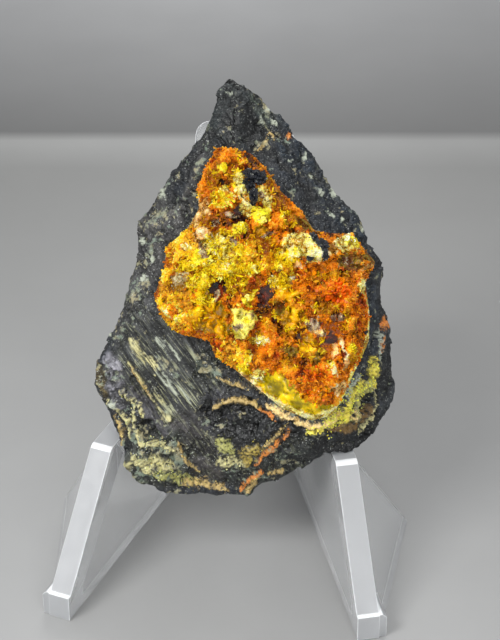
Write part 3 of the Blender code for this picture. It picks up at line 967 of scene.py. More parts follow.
    def add_veins(self, places: Array, front: Array, colour: Array,
                  rise: Array, speck: Array) -> Array:
        """Paints the veins on the front.

        Args:
            places: The vertices, in the stone's plane.
            front: How much each faces the viewer.
            colour, speck: Their colours and specks, which the veins change.
            rise: How far each stands up, in millimetres.

        Returns:
            How far each stands up with the veins.
        """
        u, v = places[:, 0], places[:, 1]
        wobble = fractal(places, 0.9, 12.0, 3)
        frayed = fractal(places, 0.35, 13.0, 2)
        lined = self.lined(places)
        whole = np.ones(len(u))
        crumbs = smooth(-0.34, 0.06, 0.7 * fractal(places, 0.40, 14.0, 4) + 0.3 * frayed)
        strokes = smooth(-0.20, 0.22, fractal(lined, 0.42, 15.0, 4) + 0.15 * frayed)
        masks = {Fray.WHOLE: whole, Fray.CRUMBS: crumbs, Fray.STROKES: strokes}
        for vein in VEINS.values():
            far, way = route_distance(vein.route, u + 0.3 * wobble, v + 0.3 * frayed)
            taper = 0.35 + 0.65 * np.sin(math.pi * np.clip(way * 0.86 + 0.07, 0.0, 1.0))
            edge = far / (vein.half * taper) + 0.9 * wobble + 0.7 * frayed
            share = front * (1.0 - smooth(0.6, 1.5, edge)) * masks[vein.fray]
            colour[:] = mixed(colour, np.array(vein.colour), share * 0.92)
            body = 1.0 - smooth(0.4, 1.4, far / vein.half)
            rise = rise + vein.rise * front * body * masks[vein.fray]
            speck -= speck * share
        return rise


class Kind(Enum):
    """The small crystals and grains that make the crust."""

    ORANGE_PLATE = "masuyite_plates"
    ORANGE_GRAIN = "masuyite_grains"
    YELLOW_BLADE = "billietite_blades"
    PALE_FLAKE = "pale_flakes"
    CREAM_GRAIN = "cream_grains"
    VEIN_CRUMB = "vein_crumbs"


RED = paint(226, 92, 8)
DEEP_RED = paint(142, 50, 8)
ORANGE = paint(234, 130, 10)
BRIGHT_ORANGE = paint(248, 172, 36)
AMBER = paint(216, 152, 4)
HONEY = paint(178, 112, 4)
YELLOW = paint(248, 204, 10)
BRIGHT_YELLOW = paint(255, 232, 44)
PALE = paint(254, 236, 112)
CREAM = paint(252, 242, 192)
PEACH = paint(252, 200, 122)
OLIVE = paint(140, 118, 30)
OLIVE_GEL = paint(190, 166, 0)
OLIVE_SHADE = paint(164, 132, 2)
MAUVE = paint(160, 134, 110)
GREY_WHITE = paint(218, 206, 158)
BROWN = paint(132, 66, 8)
# Painted shade: the near-black red-brown of deep voids, which are also sunk.
VOID_SHADE = paint(54, 17, 3)
RUDDY = paint(180, 84, 6)
RUST_ORANGE = paint(206, 104, 10)


@dataclass(frozen=True)
class Tone:
    """How a part of the crust looks.

    Args:
        bed: The colours of the ground in its hollows, on its slopes and on its crests: darker in
            the hollows as painted shade, paler on the crests as painted light.
        tints: The colours of its crystals, from hollows to crests, with the same painted shade and light.
        crowd: How many of each kind grow on a square millimetre.
        size: Makes its crystals larger or smaller.
        gel: 1 where the ground is smooth and glassy.
        rise: How far the ground stands up, in millimetres.
    """

    bed: tuple
    tints: tuple
    crowd: dict
    size: float = 1.0
    gel: float = 0.0
    rise: float = 0.0


PLATE, CRUMB = Kind.ORANGE_PLATE, Kind.ORANGE_GRAIN
BLADE, FLAKE, GRAIN = Kind.YELLOW_BLADE, Kind.PALE_FLAKE, Kind.CREAM_GRAIN
TONES = {
    "orange": Tone((RUDDY, ORANGE, BRIGHT_ORANGE), (RUST_ORANGE, ORANGE, ORANGE, BRIGHT_ORANGE),
                   {PLATE: 9, CRUMB: 12, GRAIN: 1}),
    "gold": Tone((HONEY, BRIGHT_ORANGE, YELLOW), (ORANGE, BRIGHT_ORANGE, YELLOW, PALE),
                 {PLATE: 8, CRUMB: 10, GRAIN: 2}),
    "red": Tone((DEEP_RED, RED, BRIGHT_ORANGE), (DEEP_RED, RED, ORANGE, BRIGHT_ORANGE),
                {PLATE: 9, CRUMB: 12, GRAIN: 0.8}),
    "amber": Tone((RUDDY, HONEY, AMBER), (HONEY, AMBER, AMBER, YELLOW),
                  {BLADE: 4, CRUMB: 6, GRAIN: 1}, 1.0, 0.2),
    "yellow": Tone((HONEY, YELLOW, BRIGHT_YELLOW), (AMBER, YELLOW, YELLOW, BRIGHT_YELLOW, PALE),
                   {BLADE: 14, FLAKE: 5, GRAIN: 6}),
    "pale": Tone((AMBER, BRIGHT_YELLOW, CREAM), (BRIGHT_YELLOW, PALE, CREAM), {FLAKE: 8, GRAIN: 8}, 0.8),
    "cream": Tone((AMBER, PALE, CREAM), (PALE, CREAM), {GRAIN: 14, FLAKE: 2}, 0.9, 0.0, 0.25),
    "peach": Tone((HONEY, PEACH, CREAM), (BRIGHT_ORANGE, PEACH, CREAM),
                  {GRAIN: 9, CRUMB: 9}, 0.9, 0.0, 0.15),
    "grey": Tone((BROWN, MAUVE, GREY_WHITE), (MAUVE, GREY_WHITE, PEACH),
                 {GRAIN: 9, FLAKE: 2}, 0.8, 0.0, -0.2),
    "white": Tone((AMBER, GREY_WHITE, CREAM), (GREY_WHITE, CREAM), {GRAIN: 6, FLAKE: 1}, 0.9, 0.1, -0.1),
    # The brown and void patches are sunk; their dark colour is partly their own and partly painted shade.
    "brown": Tone((VOID_SHADE, BROWN, HONEY), (BROWN, HONEY, ORANGE), {PLATE: 3, CRUMB: 6}, 0.9, 0.2, -0.5),
    "void": Tone((VOID_SHADE, VOID_SHADE, DEEP_RED), (DEEP_RED, RED), {CRUMB: 1.5}, 0.8, 0.0, -1.1),
    "olive": Tone((BROWN, OLIVE, HONEY), (OLIVE, HONEY, MAUVE), {CRUMB: 7, GRAIN: 1}, 0.9, 0.2, -0.1),
    "gel": Tone((BROWN, HONEY, AMBER), (HONEY, AMBER, BRIGHT_ORANGE), {CRUMB: 2, BLADE: 1}, 0.8, 0.7, 0.0),
    "honey": Tone((OLIVE_SHADE, AMBER, YELLOW), (AMBER, YELLOW), {CRUMB: 1, BLADE: 2}, 0.9, 0.6, -0.1),
    "olive gel": Tone((OLIVE_SHADE, OLIVE_GEL, YELLOW), (OLIVE_GEL, YELLOW), {CRUMB: 0.1}, 0.8, 1.0, -0.2),
    "bright": Tone((AMBER, BRIGHT_YELLOW, PALE), (YELLOW, BRIGHT_YELLOW, PALE),
                   {FLAKE: 5, GRAIN: 2}, 1.2, 0.3, 0.5),
    "plate": Tone((BRIGHT_YELLOW, PALE, PALE), (BRIGHT_YELLOW, PALE), {GRAIN: 1.5}, 0.7, 0.45, 1.2),
    "plate grey": Tone((MAUVE, MAUVE, PALE), (GREY_WHITE, PALE), {GRAIN: 2}, 0.7, 0.3, 1.0),
    "blade": Tone((PEACH, PEACH, CREAM), (PEACH, CREAM), {GRAIN: 2}, 0.6, 0.3, 0.9),
}

# What grows where, a later patch over an earlier one: its tone, and the sizes of its oval or its slab.
CRUST_PATCHES = (
    ("orange", 1, 4, 40, 40), ("brown", -2.1, 21, 4, 3.6),
    ("orange", -5.2, 20, 1.7, 4, -12), ("orange", -3.2, 23.2, 2.6, 1.3),
    ("amber", -1.9, 20.2, 1.5, 1.8), ("amber", -4.6, 19.2, 1.2, 1.4),
    ("brown", -3.4, 19.4, 0.6, 1, 20), ("orange", 4.4, 14.6, 2.4, 4.2, 40),
    ("amber", 3.4, 17.6, 0.9, 2.6, 32), ("amber", 5.4, 14.2, 1, 1.4, 30),
    ("brown", 5, 12.6, 1.6, 0.5, -30), ("olive", 8.2, 13.2, 2.4, 0.8, -30),
    ("peach", -6.9, 14.6, 1.4, 2.4, -20), ("yellow", -4.9, 7.8, 5, 5, 20),
    ("amber", -5.6, 13.2, 1.8, 1.4), ("grey", -4.8, 13.4, 0.8, 0.5, 20),
    ("gold", -9.6, 11.2, 2.4, 2.4, 40), ("amber", -9.4, 7.6, 1.6, 1), ("gold", -10.4, 8.8, 1.1, 1.3),
    ("peach", -6.6, 11.8, 1.2, 1.2, 12), ("grey", -6.4, 9.8, 0.9, 1.4, 12),
    ("grey", -3, 10.9, 1.5, 0.8), ("pale", -8.8, 10.1, 0.7, 0.6), ("pale", -4.6, 10.4, 2.2, 1.6, -20),
    ("pale", -3.2, 8.4, 1.2, 1), ("yellow", -8.4, 7, 2.2, 1.2), ("white", -9.8, 5.3, 1.5, 1.2, 20),
    ("pale", -8.6, 4.9, 0.5, 0.8), ("brown", -9, 3.8, 0.8, 0.45), ("gold", -11.8, 4.4, 1, 3.2),
    ("gold", -10.2, 1.2, 3, 3), ("pale", -10.6, 1.2, 1.5, 1.3, -20),
    ("orange", -10.6, 1.2, 0.8, 0.7, -20), ("honey", -5.6, 0.8, 2.5, 2.6, -20),
    ("honey", -3.6, -1.2, 1.6, 1.3), ("yellow", -6.4, 2.8, 1.2, 0.6), ("amber", -1.4, 5.2, 1.3, 1.2),
    ("void", -4.5, 4.3, 1.3, 1.7, -10), ("grey", -4.8, 3.4, 0.5, 0.7), ("brown", -2.4, 2.2, 0.7, 1.3),
    ("brown", -2.5, 14.8, 2.1, 2), ("void", -1.6, 14.3, 1.1, 1.2),
    ("grey", -2.7, 14.6, 1.1, 0.35, -10), ("yellow", -3.9, 16.9, 1.5, 1.2),
    ("pale", -3.6, 18.2, 0.6, 0.5), ("bright", -3.6, 21.2, 0.8, 0.7), ("bright", -1.3, 12.6, 1.1, 0.9),
    ("amber", 1.4, 11, 2.4, 2), ("honey", 1.4, 12.4, 1, 0.8), ("gold", 1.2, 9, 2.2, 2),
    ("grey", 2.4, 12, 1.3, 0.35, 30), ("yellow", 0.6, 7.2, 1, 1.2), ("amber", 4.4, 8.2, 2.6, 2.6),
    ("yellow", 4.9, 8, 1.4, 2.2), ("yellow", 4.2, 5.4, 1.8, 1.2), ("brown", 3.4, 6.2, 0.6, 0.6),
    ("pale", 6, 5.8, 0.8, 0.6), ("pale", 3.2, 5.4, 0.6, 0.7), ("orange", 8.2, 5.2, 2.2, 1.8),
    ("peach", 6.4, 7.6, 0.7, 0.4), ("amber", 9.6, 5.8, 1.2, 0.9), ("honey", 5.6, 3.4, 1.9, 0.9, -10),
    ("amber", 2, 9.8, 1.2, 1), ("cream", 6.8, 10.5, 2.2, 1.8, 10), ("cream", 9, 9, 1.6, 1.2),
    ("pale", 6.6, 9.6, 0.8, 0.6), ("cream", 13.4, 10.8, 2, 1.3), ("bright", 14.6, 11, 0.8, 0.7),
    ("peach", 11.4, 9.8, 0.8, 1), ("brown", 11.8, 12.3, 1.8, 0.7, -5),
    ("orange", 11.2, 7.6, 1.2, 1.4), ("olive", 13.9, 8, 1.9, 1.3), ("grey", 13.8, 8.1, 0.7, 0.5),
    ("olive", 16.8, 8.8, 1.5, 0.8, -20), ("peach", 16.4, 7.3, 1, 0.4, 20),
    ("red", 12, 3.8, 2.2, 1.8, -30), ("amber", 12, 6.2, 1.6, 0.8), ("red", 15.4, 2.8, 1.1, 1.4),
    ("cream", 15.6, 5, 0.5, 1.1), ("orange", 14.4, -0.6, 2.4, 2.6), ("amber", 13.2, 0.6, 1.2, 0.9),
    ("brown", 14.4, -2.2, 1.4, 0.7), ("grey", 12.1, 0.4, 1, 0.7), ("grey", 8.6, -0.8, 1.4, 1.2),
    ("grey", 9.8, -1.8, 1, 0.5), ("amber", 10.6, 1.6, 1.8, 0.9), ("brown", 9.6, 2.6, 0.8, 0.5),
    ("orange", 7.4, 2.4, 1.4, 1), ("amber", 5.2, 0, 3, 2.4), ("honey", 5.4, 0.4, 1.5, 1.3),
    ("olive", 4, 1.8, 0.9, 1), ("brown", 3.4, -0.6, 0.8, 1.6, 20),
    ("orange", 2.6, -1.6, 0.9, 1.4, 30), ("brown", 1.9, 1.4, 1.2, 1.6), ("void", 2.1, 3.6, 1.2, 1.5),
    ("brown", 6.6, -2.4, 1, 0.8), ("pale", 1.5, -3, 1.6, 0.9, -15), ("olive", 5.7, -4.4, 1.1, 1),
    ("orange", 2.6, -5.8, 2.4, 2.6), ("gold", -3, -4.4, 2.8, 1.8, -35),
    ("red", -4.4, -3.6, 1, 0.7, -30), ("pale", -0.4, -5.3, 0.7, 1.1, -15),
    ("brown", 0.8, -5.2, 0.5, 1, -15), ("yellow", -0.9, -7, 1.3, 0.8, -35),
    ("cream", 1.1, -8, 1.1, 1), ("grey", 1.1, -8.1, 0.4, 0.4),
    ("bright", Slab(((-1.4, 2.2), (0.4, 2), (0.9, 4.2), (-0.4, 3.6), (-0.9, 3)))),
    ("plate", Slab(((-2.8, 1.9), (-1.9, -2.9), (-0.6, -2.6), (1.4, 0.4), (0.6, 1.3)))),
    ("plate grey", -1.5, -0.9, 0.7, 0.5), ("plate grey", 0.1, 0.6, 0.8, 0.4),
    ("bright", -0.6, -0.1, 0.45, 0.4), ("amber", 8.6, -4, 1.8, 1.8), ("honey", 8.2, -3.4, 1.3, 1.1),
    ("brown", 7.6, -5.8, 0.8, 0.8), ("olive", 9.4, -5.2, 0.7, 0.9), ("void", 11.2, -2.6, 0.9, 0.9),
    ("peach", 9.6, -1.8, 1.6, 0.3, 12), ("orange", 14, -4.4, 1.8, 2),
    ("amber", 14.2, -4.6, 0.8, 1.4), ("void", 12.9, -4.9, 0.4, 1.3, 8),
    ("blade", Slab(((11.6, -5.4), (12.1, -5.4), (12.2, -3.3), (11.5, -3.3)))),
    ("blade", Slab(((12.6, -4.2), (13.1, -4.4), (13, -2.2), (12.3, -2)))),
    ("blade", Slab(((12.8, -7), (13.4, -6.8), (13.5, -4.6), (13, -4.4)))),
    ("pale", 11.2, -6.2, 0.8, 0.6), ("cream", 11.6, -7.2, 0.5, 0.8), ("bright", 9.9, -4.4, 0.6, 0.7),
    ("olive gel", 4.8, -10.1, 3.8, 1.9, -32), ("olive gel", 9.4, -12.4, 2.6, 0.9, -6),
    ("orange", 9.4, -8.9, 3.5, 2.5, -12), ("red", 8.2, -7.6, 1.8, 0.8),
    ("peach", 12.2, -9.4, 1.2, 0.8, 40), ("cream", -1.5, 18.6, 0.8, 1.9, 8),
    ("cream", 1, 17.3, 2, 0.9, -10), ("cream", 2.2, 16.6, 0.8, 2, 15),
    ("cream", -0.3, 15.8, 1, 1.5), ("grey", 1.6, 17.4, 0.5, 0.4), ("bright", 1.5, 14.5, 1.5, 1.4),
)

# Pale rims along the crust's outline: their route, tone and half width in millimetres.
CRUST_RIM = {
    "right rim": (((15.9, 5.6), (16.2, 3.2), (16.7, 1.0), (16.8, -1.8), (16.3, -4.0)), "cream", 0.38),
    "lower right rim": (((16.2, -4.2), (14.6, -7.2), (13.4, -10.2), (12.4, -12.6)), "pale", 0.38),
    "bottom rim": (((12.2, -13.0), (8.8, -13.7), (5.4, -12.7), (2.2, -10.8)), "cream", 0.85),
    "lower left rim": (((1.6, -10.2), (-1.6, -7.4)), "peach", 0.5),
}


@dataclass
class CrustMap:
    """What grows where on the crust, read from its patches.

    Attributes:
        names: The tones, in the order that indices follow.
    """

    names: list = field(default_factory=lambda: list(TONES))

    def tones(self, places: Array) -> Array:
        """Finds the tone at each place.

        Args:
            places: The places, in the stone's plane.

        Returns:
            The index of each one's tone.
        """
        u = places[:, 0] + 0.45 * fractal(places, 1.7, 21.0, 3)
        v = places[:, 1] + 0.45 * fractal(places, 1.7, 22.0, 3)
        ragged = 0.30 * fractal(places, 0.8, 23.0, 2)
        found = np.zeros(len(u), int)
        for name, *sizes in CRUST_PATCHES:
            shape = sizes[0] if isinstance(sizes[0], Slab) else Spot(*sizes)
            found[shape.reach(u, v) + ragged < 1.0] = self.names.index(name)
        speck = Cells.at(places * np.array((1.0, 1.0, 0.3)), 0.8, 24.0)
        swap = {
            "orange": ("amber", "red"), "red": ("orange", "brown"), "amber": ("yellow", "brown"),
            "yellow": ("pale", "amber"), "brown": ("orange", "void"), "pale": ("yellow", "cream"),
        }
        before = found.copy()
        for name, (often, seldom) in swap.items():
            own = before == self.names.index(name)
            found[own & (speck.value > 0.86)] = self.names.index(often)
            found[own & (speck.value < 0.05)] = self.names.index(seldom)
        for route, name, half in CRUST_RIM.values():
            far, _ = route_distance(route, u, v)
            found[far + 1.2 * np.abs(ragged) < half] = self.names.index(name)
        return found

    def lumps(self, places: Array) -> Array:
        """The uneven growth of the crust.

        Args:
            places: The places, in the stone's plane.

        Returns:
            A level for each, from deep hollows at about -0.7 to crests at 0.6.
        """
        broad = fractal(places, 2.3, 25.0, 2)
        near = fractal(places, 1.1, 26.0, 2)
        return 0.8 * broad + 0.55 * near - 0.45 * smooth(0.16, 0.0, np.abs(broad + 0.25 * near))

    def values(self, index: Array, read: object) -> Array:
        """A number of each tone, spread over the places."""
        return np.array([read(TONES[name]) for name in self.names])[index]


@dataclass(frozen=True)
class GroundFinish:
    """Orange and yellow ground, dull between the crystals and glassy in the hollows.

    Args:
        coat, coat_roughness: How strong and how dull the glassy coat is.
        specular: How strongly it reflects.
        glow: The share of the light that it scatters inside.
    """

    coat: float = 0.12
    coat_roughness: float = 0.15
    specular: float = 0.3
    glow: float = 0.35

    def material(self) -> Material:
        """Makes the material.

        Returns:
            The material.
        """
        shader = Shader("crust_ground", 0.00016)
        cloud = shader.ramp(shader.grain(0.0007, 4.0), 0.35, 0.65, 0.72, 1.18)
        shader.shaded(shader.attribute("ground", "Color"), cloud)
        gel = shader.attribute("gel", "Fac")
        shader.drive("Coat Weight", shader.times(gel, self.coat))
        shader.constant("Coat Roughness", self.coat_roughness)
        shader.drive("Roughness", shader.math("MULTIPLY_ADD", gel, -0.30, 0.55))
        shader.constant("Specular IOR Level", self.specular)
        shader.glow(self.glow)
        dull = shader.math("SUBTRACT", 1.0, gel)
        shader.bump(shader.times(shader.grain(0.0003, 4.0), dull), 0.6)
        return shader.material


@dataclass(frozen=True)
class Crust:
    """The ground of the crust, with its lumps, holes and glassy hollows.

    Args:
        chart: The map that says what grows where.
        node: The solid that it dresses.
        smooth_levels: How often the solid's faces are divided.
        least_left: The least depth that a hollow leaves of the crust, in millimetres.
    """

    chart: CrustMap
    node: str = "masuyite_billietite_crust"
    smooth_levels: int = 2
    least_left: float = 0.25

    def depth(self, detail: Detail) -> Array:
        """Measures how deep the solid is.

        Args:
            detail: Its vertices.

        Returns:
            How far it goes down below each of them, in millimetres.
        """
        shape = bmesh.new()
        shape.from_mesh(detail.mesh)
        tree = BVHTree.FromBMesh(shape)
        shape.free()
        inward = -Vector(PLANE.axes()[2])
        hits = (tree.ray_cast(Vector(point) + 0.02 * MM * inward, inward) for point in detail.points)
        return np.array([(hit[3] or 0.0) / MM for hit in hits])

    def build(self) -> Piece:
        """Makes the ground and puts it in place of its solid.

        Returns:
            The piece.
        """
        mesh = dense_copy(self.node, self.smooth_levels)
        detail = Detail(mesh)
        places = PLANE.of_row(detail.points)
        index = self.chart.tones(places)
        facing = smooth(0.05, 0.5, detail.normals @ PLANE.axes()[2])
        gel = self.chart.values(index, lambda tone: tone.gel)
        cells = Cells.at(places, 0.60, 31.0, "MANHATTAN")
        fine = Cells.at(places, 0.30, 35.0, "MANHATTAN")
        rough = 0.55 * cells.tilt + 0.24 * (cells.value - 0.5) + 0.3 * fine.tilt + 0.12 * (fine.value - 0.5)
        swell = 0.16 * fractal(places, 1.5, 33.0, 3)
        lumps = self.chart.lumps(places)
        rise = self.chart.values(index, lambda tone: tone.rise) * 0.8 + (1.3 - 0.7 * gel) * lumps
        rise = facing * (rise + rough + (swell - rough) * smooth(0.0, 0.7, gel))
        rise = np.maximum(rise, np.minimum(0.0, self.least_left - self.depth(detail)))
        detail.place(detail.points + (rise * MM)[:, None] * PLANE.axes()[2])
        # Painted shade and light: the ground takes its hollow colour where it lies low and its crest colour
        # where it stands high.
        beds = [np.array([TONES[name].bed[i] for name in self.chart.names])[index] for i in range(3)]
        grain = 0.45 * (cells.value - 0.5) + 0.35 * (fine.value - 0.5)
        level = 0.8 * lumps + grain + 0.35 * fractal(places, 0.7, 34.0, 3)
        level = 0.42 + level * (1.0 - 0.6 * gel) + 0.25 * gel
        colour = mixed(beds[0], beds[1], smooth(0.0, 0.5, level))
        colour = mixed(colour, beds[2], smooth(0.55, 1.05, level))
        # Painted shade: darker still in the hollows between the lumps.
        hollow = smooth(-0.55, 0.15, lumps + 0.4 * rough)
        colour *= (0.46 + 0.60 * hollow)[:, None]
        detail.colour("ground", colour)
        detail.number("gel", gel)
        corners = np.empty(len(mesh.polygons) * 4, np.int32)
        mesh.polygons.foreach_get("vertices", corners)
        mesh.polygons.foreach_set("use_smooth", gel[corners.reshape(-1, 4)].mean(axis=1) > 0.6)
        piece = add_piece("crust_ground", mesh)
        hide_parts(self.node)
        mesh.materials.append(GroundFinish().material())
        return piece


@dataclass(frozen=True)
class Habit:
    """The form of one kind of crystal.

    Args:
        shape: The name of its prototype.
        length: Its least and greatest length in millimetres.
        width: Its width as a share of the length.
        thick: Its thickness as a share of the length.
        lean: The least and greatest angle off the surface's normal, in degrees.
    """

    shape: str
    length: tuple[float, float]
    width: float
    thick: float
    lean: tuple[float, float]


HABITS = {
    Kind.ORANGE_PLATE: Habit("blade", (0.18, 0.58), 0.80, 0.22, (15, 75)),
    Kind.ORANGE_GRAIN: Habit("grain", (0.12, 0.30), 0.9, 0.8, (0, 90)),
    Kind.YELLOW_BLADE: Habit("blade", (0.26, 0.85), 0.34, 0.20, (5, 65)),
    Kind.PALE_FLAKE: Habit("flake", (0.22, 0.65), 0.85, 0.25, (0, 50)),
    Kind.CREAM_GRAIN: Habit("grain", (0.12, 0.30), 0.9, 0.75, (0, 90)),
    Kind.VEIN_CRUMB: Habit("grain", (0.12, 0.42), 0.9, 0.7, (0, 90)),
}


@dataclass(frozen=True)
class Cluster:
    """A rosette or fan of larger crystals at one place on the crust.

    Args:
        u: Its place to the right, in millimetres.
        v: Its place up the lean.
        kind: The kind of its crystals.
        count: How many there are.
        length: The length of the longest.
        tints: Their colours.
        spread: The greatest angle off the middle, in degrees.
        radius: How far their feet lie from its place.
    """

    u: float
    v: float
    kind: Kind
    count: int
    length: float
    tints: tuple
    spread: float = 70.0
    radius: float = 0.5


CLUSTERS = {
    "yellow rosette": Cluster(-1.2, 12.7, FLAKE, 16, 1.2, (BRIGHT_YELLOW, YELLOW, PALE), 70, 0.7),
    "upper fan": Cluster(-4.0, 17.2, BLADE, 12, 1.0, (AMBER, ORANGE, YELLOW), 85, 1.4),
    "spur lump": Cluster(-3.6, 21.2, FLAKE, 9, 1.0, (BRIGHT_YELLOW, YELLOW), 60, 0.4),
    "pale crown": Cluster(-4.8, 10.6, BLADE, 34, 0.8, (PALE, CREAM, BRIGHT_YELLOW), 70, 1.4),
    "field crown": Cluster(-6.4, 7.0, BLADE, 50, 0.9, (YELLOW, BRIGHT_YELLOW), 75, 1.8),
    "field crown 2": Cluster(-3.2, 6.6, BLADE, 50, 0.9, (YELLOW, BRIGHT_YELLOW, AMBER), 75, 1.8),
    "small plate": Cluster(-0.3, 3.0, FLAKE, 5, 0.9, (BRIGHT_YELLOW, PALE), 35, 0.6),
    "amber fan": Cluster(-5.0, 0.6, BLADE, 12, 1.5, (AMBER, YELLOW, HONEY), 80, 1.4),
    "lobe ring": Cluster(-10.4, 1.4, FLAKE, 16, 1.0, (BRIGHT_ORANGE, YELLOW, ORANGE), 50, 1.3),
    "knob lump": Cluster(1.5, 14.5, FLAKE, 12, 1.4, (BRIGHT_YELLOW, PALE, BRIGHT_YELLOW), 50, 0.9),
    "right lump": Cluster(14.0, 10.9, FLAKE, 12, 1.0, (PALE, BRIGHT_YELLOW, CREAM), 50, 0.9),
    "low plate": Cluster(1.5, -3.0, FLAKE, 9, 1.0, (PALE, CREAM), 45, 0.9),
    "crater": Cluster(1.1, -8.0, FLAKE, 10, 0.8, (PALE, CREAM), 60, 0.7),
    "crest": Cluster(8.0, 5.6, PLATE, 24, 0.8, (ORANGE, ORANGE, BRIGHT_ORANGE), 70, 1.4),
    "red crest": Cluster(12.2, 3.8, PLATE, 36, 1.1, (RED, ORANGE, RED), 70, 1.5),
    "bottom crest": Cluster(9.4, -8.8, PLATE, 90, 0.7, (ORANGE, RED, ORANGE, BRIGHT_ORANGE), 70, 2.6),
    "pale tuft": Cluster(6.0, 5.8, FLAKE, 8, 0.7, (PALE, CREAM), 60, 0.5),
}


class CrystalTree:
    """The Geometry Nodes tree that plants one prototype on every seed."""

    def __init__(self) -> None:
        """Builds the tree once, for all kinds of crystal."""
        self.tree = bpy.data.node_groups.new("plant_crystals", "GeometryNodeTree")
        sockets = self.tree.interface
        self.inputs = {}
        sockets.new_socket("Seeds", in_out="INPUT", socket_type="NodeSocketGeometry")
        for name, kind in (("Crystal", "NodeSocketObject"), ("Finish", "NodeSocketMaterial"),
                           ("Greatest Turn", "NodeSocketFloat"), ("Seed", "NodeSocketInt")):
            socket = sockets.new_socket(name, in_out="INPUT", socket_type=kind)
            self.inputs[name] = socket.identifier
        sockets.new_socket("Crystals", in_out="OUTPUT", socket_type="NodeSocketGeometry")
        self.wire()

    def node(self, kind: str, **values: object) -> bpy.types.Node:
        """Adds a node.

        Args:
            kind: The kind of node.
            values: Its properties.

        Returns:
            The new node.
        """
        made = self.tree.nodes.new(kind)
        for name, value in values.items():
            setattr(made, name, value)
        return made

    def named(self, name: str) -> Socket:
        """Reads a vector attribute of the seeds.

        Args:
            name: Its name.

        Returns:
            Its value.
        """
        made = self.node("GeometryNodeInputNamedAttribute", data_type="FLOAT_VECTOR")
        made.inputs["Name"].default_value = name
        return made.outputs["Attribute"]

    def wire(self) -> None:
        """Seeds to points, crystals on them turned and scaled, realized, with their material."""
        link = self.tree.links.new
        given, result = self.node("NodeGroupInput"), self.node("NodeGroupOutput")
        points = self.node("GeometryNodeMeshToPoints")
        crystal = self.node("GeometryNodeObjectInfo")
        plant = self.node("GeometryNodeInstanceOnPoints")
        align = self.node("FunctionNodeAlignRotationToVector", axis="Z")
        spin = self.node("FunctionNodeRotateRotation", rotation_space="LOCAL")
        turn = self.node("FunctionNodeAxisAngleToRotation")
        turn.inputs["Axis"].default_value = (0.0, 0.0, 1.0)
        chance = self.node("FunctionNodeRandomValue", data_type="FLOAT")
        realize = self.node("GeometryNodeRealizeInstances")
        dress = self.node("GeometryNodeSetMaterial")
        floats = [socket for socket in chance.inputs if socket.type == "VALUE"]
        value = [socket for socket in chance.outputs if socket.type == "VALUE"][0]
        pairs = (
            (given, "Seeds", points, "Mesh"), (given, "Crystal", crystal, "Object"),
            (given, "Seed", chance, "Seed"), (align, "Rotation", spin, "Rotation"),
            (turn, "Rotation", spin, "Rotate By"), (points, "Points", plant, "Points"),
            (crystal, "Geometry", plant, "Instance"), (spin, "Rotation", plant, "Rotation"),
            (plant, "Instances", realize, "Geometry"), (realize, "Geometry", dress, "Geometry"),
            (given, "Finish", dress, "Material"), (dress, "Geometry", result, "Crystals"),
        )
        for start, output, end, entry in pairs:
            link(start.outputs[output], end.inputs[entry])
        link(given.outputs["Greatest Turn"], floats[1])
        link(value, turn.inputs["Angle"])
        link(self.named("outward"), align.inputs["Vector"])
        link(self.named("growth"), plant.inputs["Scale"])

    def grow(self, name: str, seeds: Mesh, crystal: Piece,
             finish: Material, seed: int) -> Mesh:
        """Plants the crystals.

        Args:
            name: The name of their kind.
            seeds: The seeds.
            crystal: The prototype.
            finish: Their material.
            seed: Fixes how each is turned.

        Returns:
            All of them as one plain mesh.
        """
        holder = bpy.data.objects.new(name + "_seeds", seeds)
        bpy.context.scene.collection.objects.link(holder)
        modifier = holder.modifiers.new("plant", "NODES")
        modifier.node_group = self.tree
        modifier[self.inputs["Crystal"]] = crystal
        modifier[self.inputs["Finish"]] = finish
        modifier[self.inputs["Greatest Turn"]] = math.tau
        modifier[self.inputs["Seed"]] = seed
        graph = bpy.context.evaluated_depsgraph_get()
        mesh = bpy.data.meshes.new_from_object(holder.evaluated_get(graph))
        holder.modifiers.remove(modifier)
        bpy.data.objects.remove(holder)
        return mesh


@dataclass(frozen=True)
class CrystalFinish:
    """Crystal in its own tint, a little cloudy.

    Args:
        kind: The kind of crystal.
        roughness, grain_roughness: How dull crystals and grains are.
        specular: How strongly they reflect.
        glow: The share of the light that they scatter inside.
    """

    kind: Kind
    roughness: float = 0.3
    grain_roughness: float = 0.5
    specular: float = 0.22
    glow: float = 0.40

    def material(self) -> Material:
        """Makes the material.

        Returns:
            The material.
        """
        shader = Shader(self.kind.value, 0.00008)
        cloud = shader.ramp(shader.grain(0.0004, 3.0), 0.35, 0.65, 0.82, 1.12)
        shader.shaded(shader.attribute("tint", "Color"), cloud)
        shader.constant("Specular IOR Level", self.specular)
        rough = self.grain_roughness if HABITS[self.kind].shape == "grain" else self.roughness
        rough = shader.ramp(shader.grain(0.0006), 0.35, 0.65, rough - 0.1, rough + 0.12)
        shader.drive("Roughness", rough)
        shader.glow(self.glow)
        shader.bump(shader.grain(0.0002, 2.0), 0.3)
        return shader.material


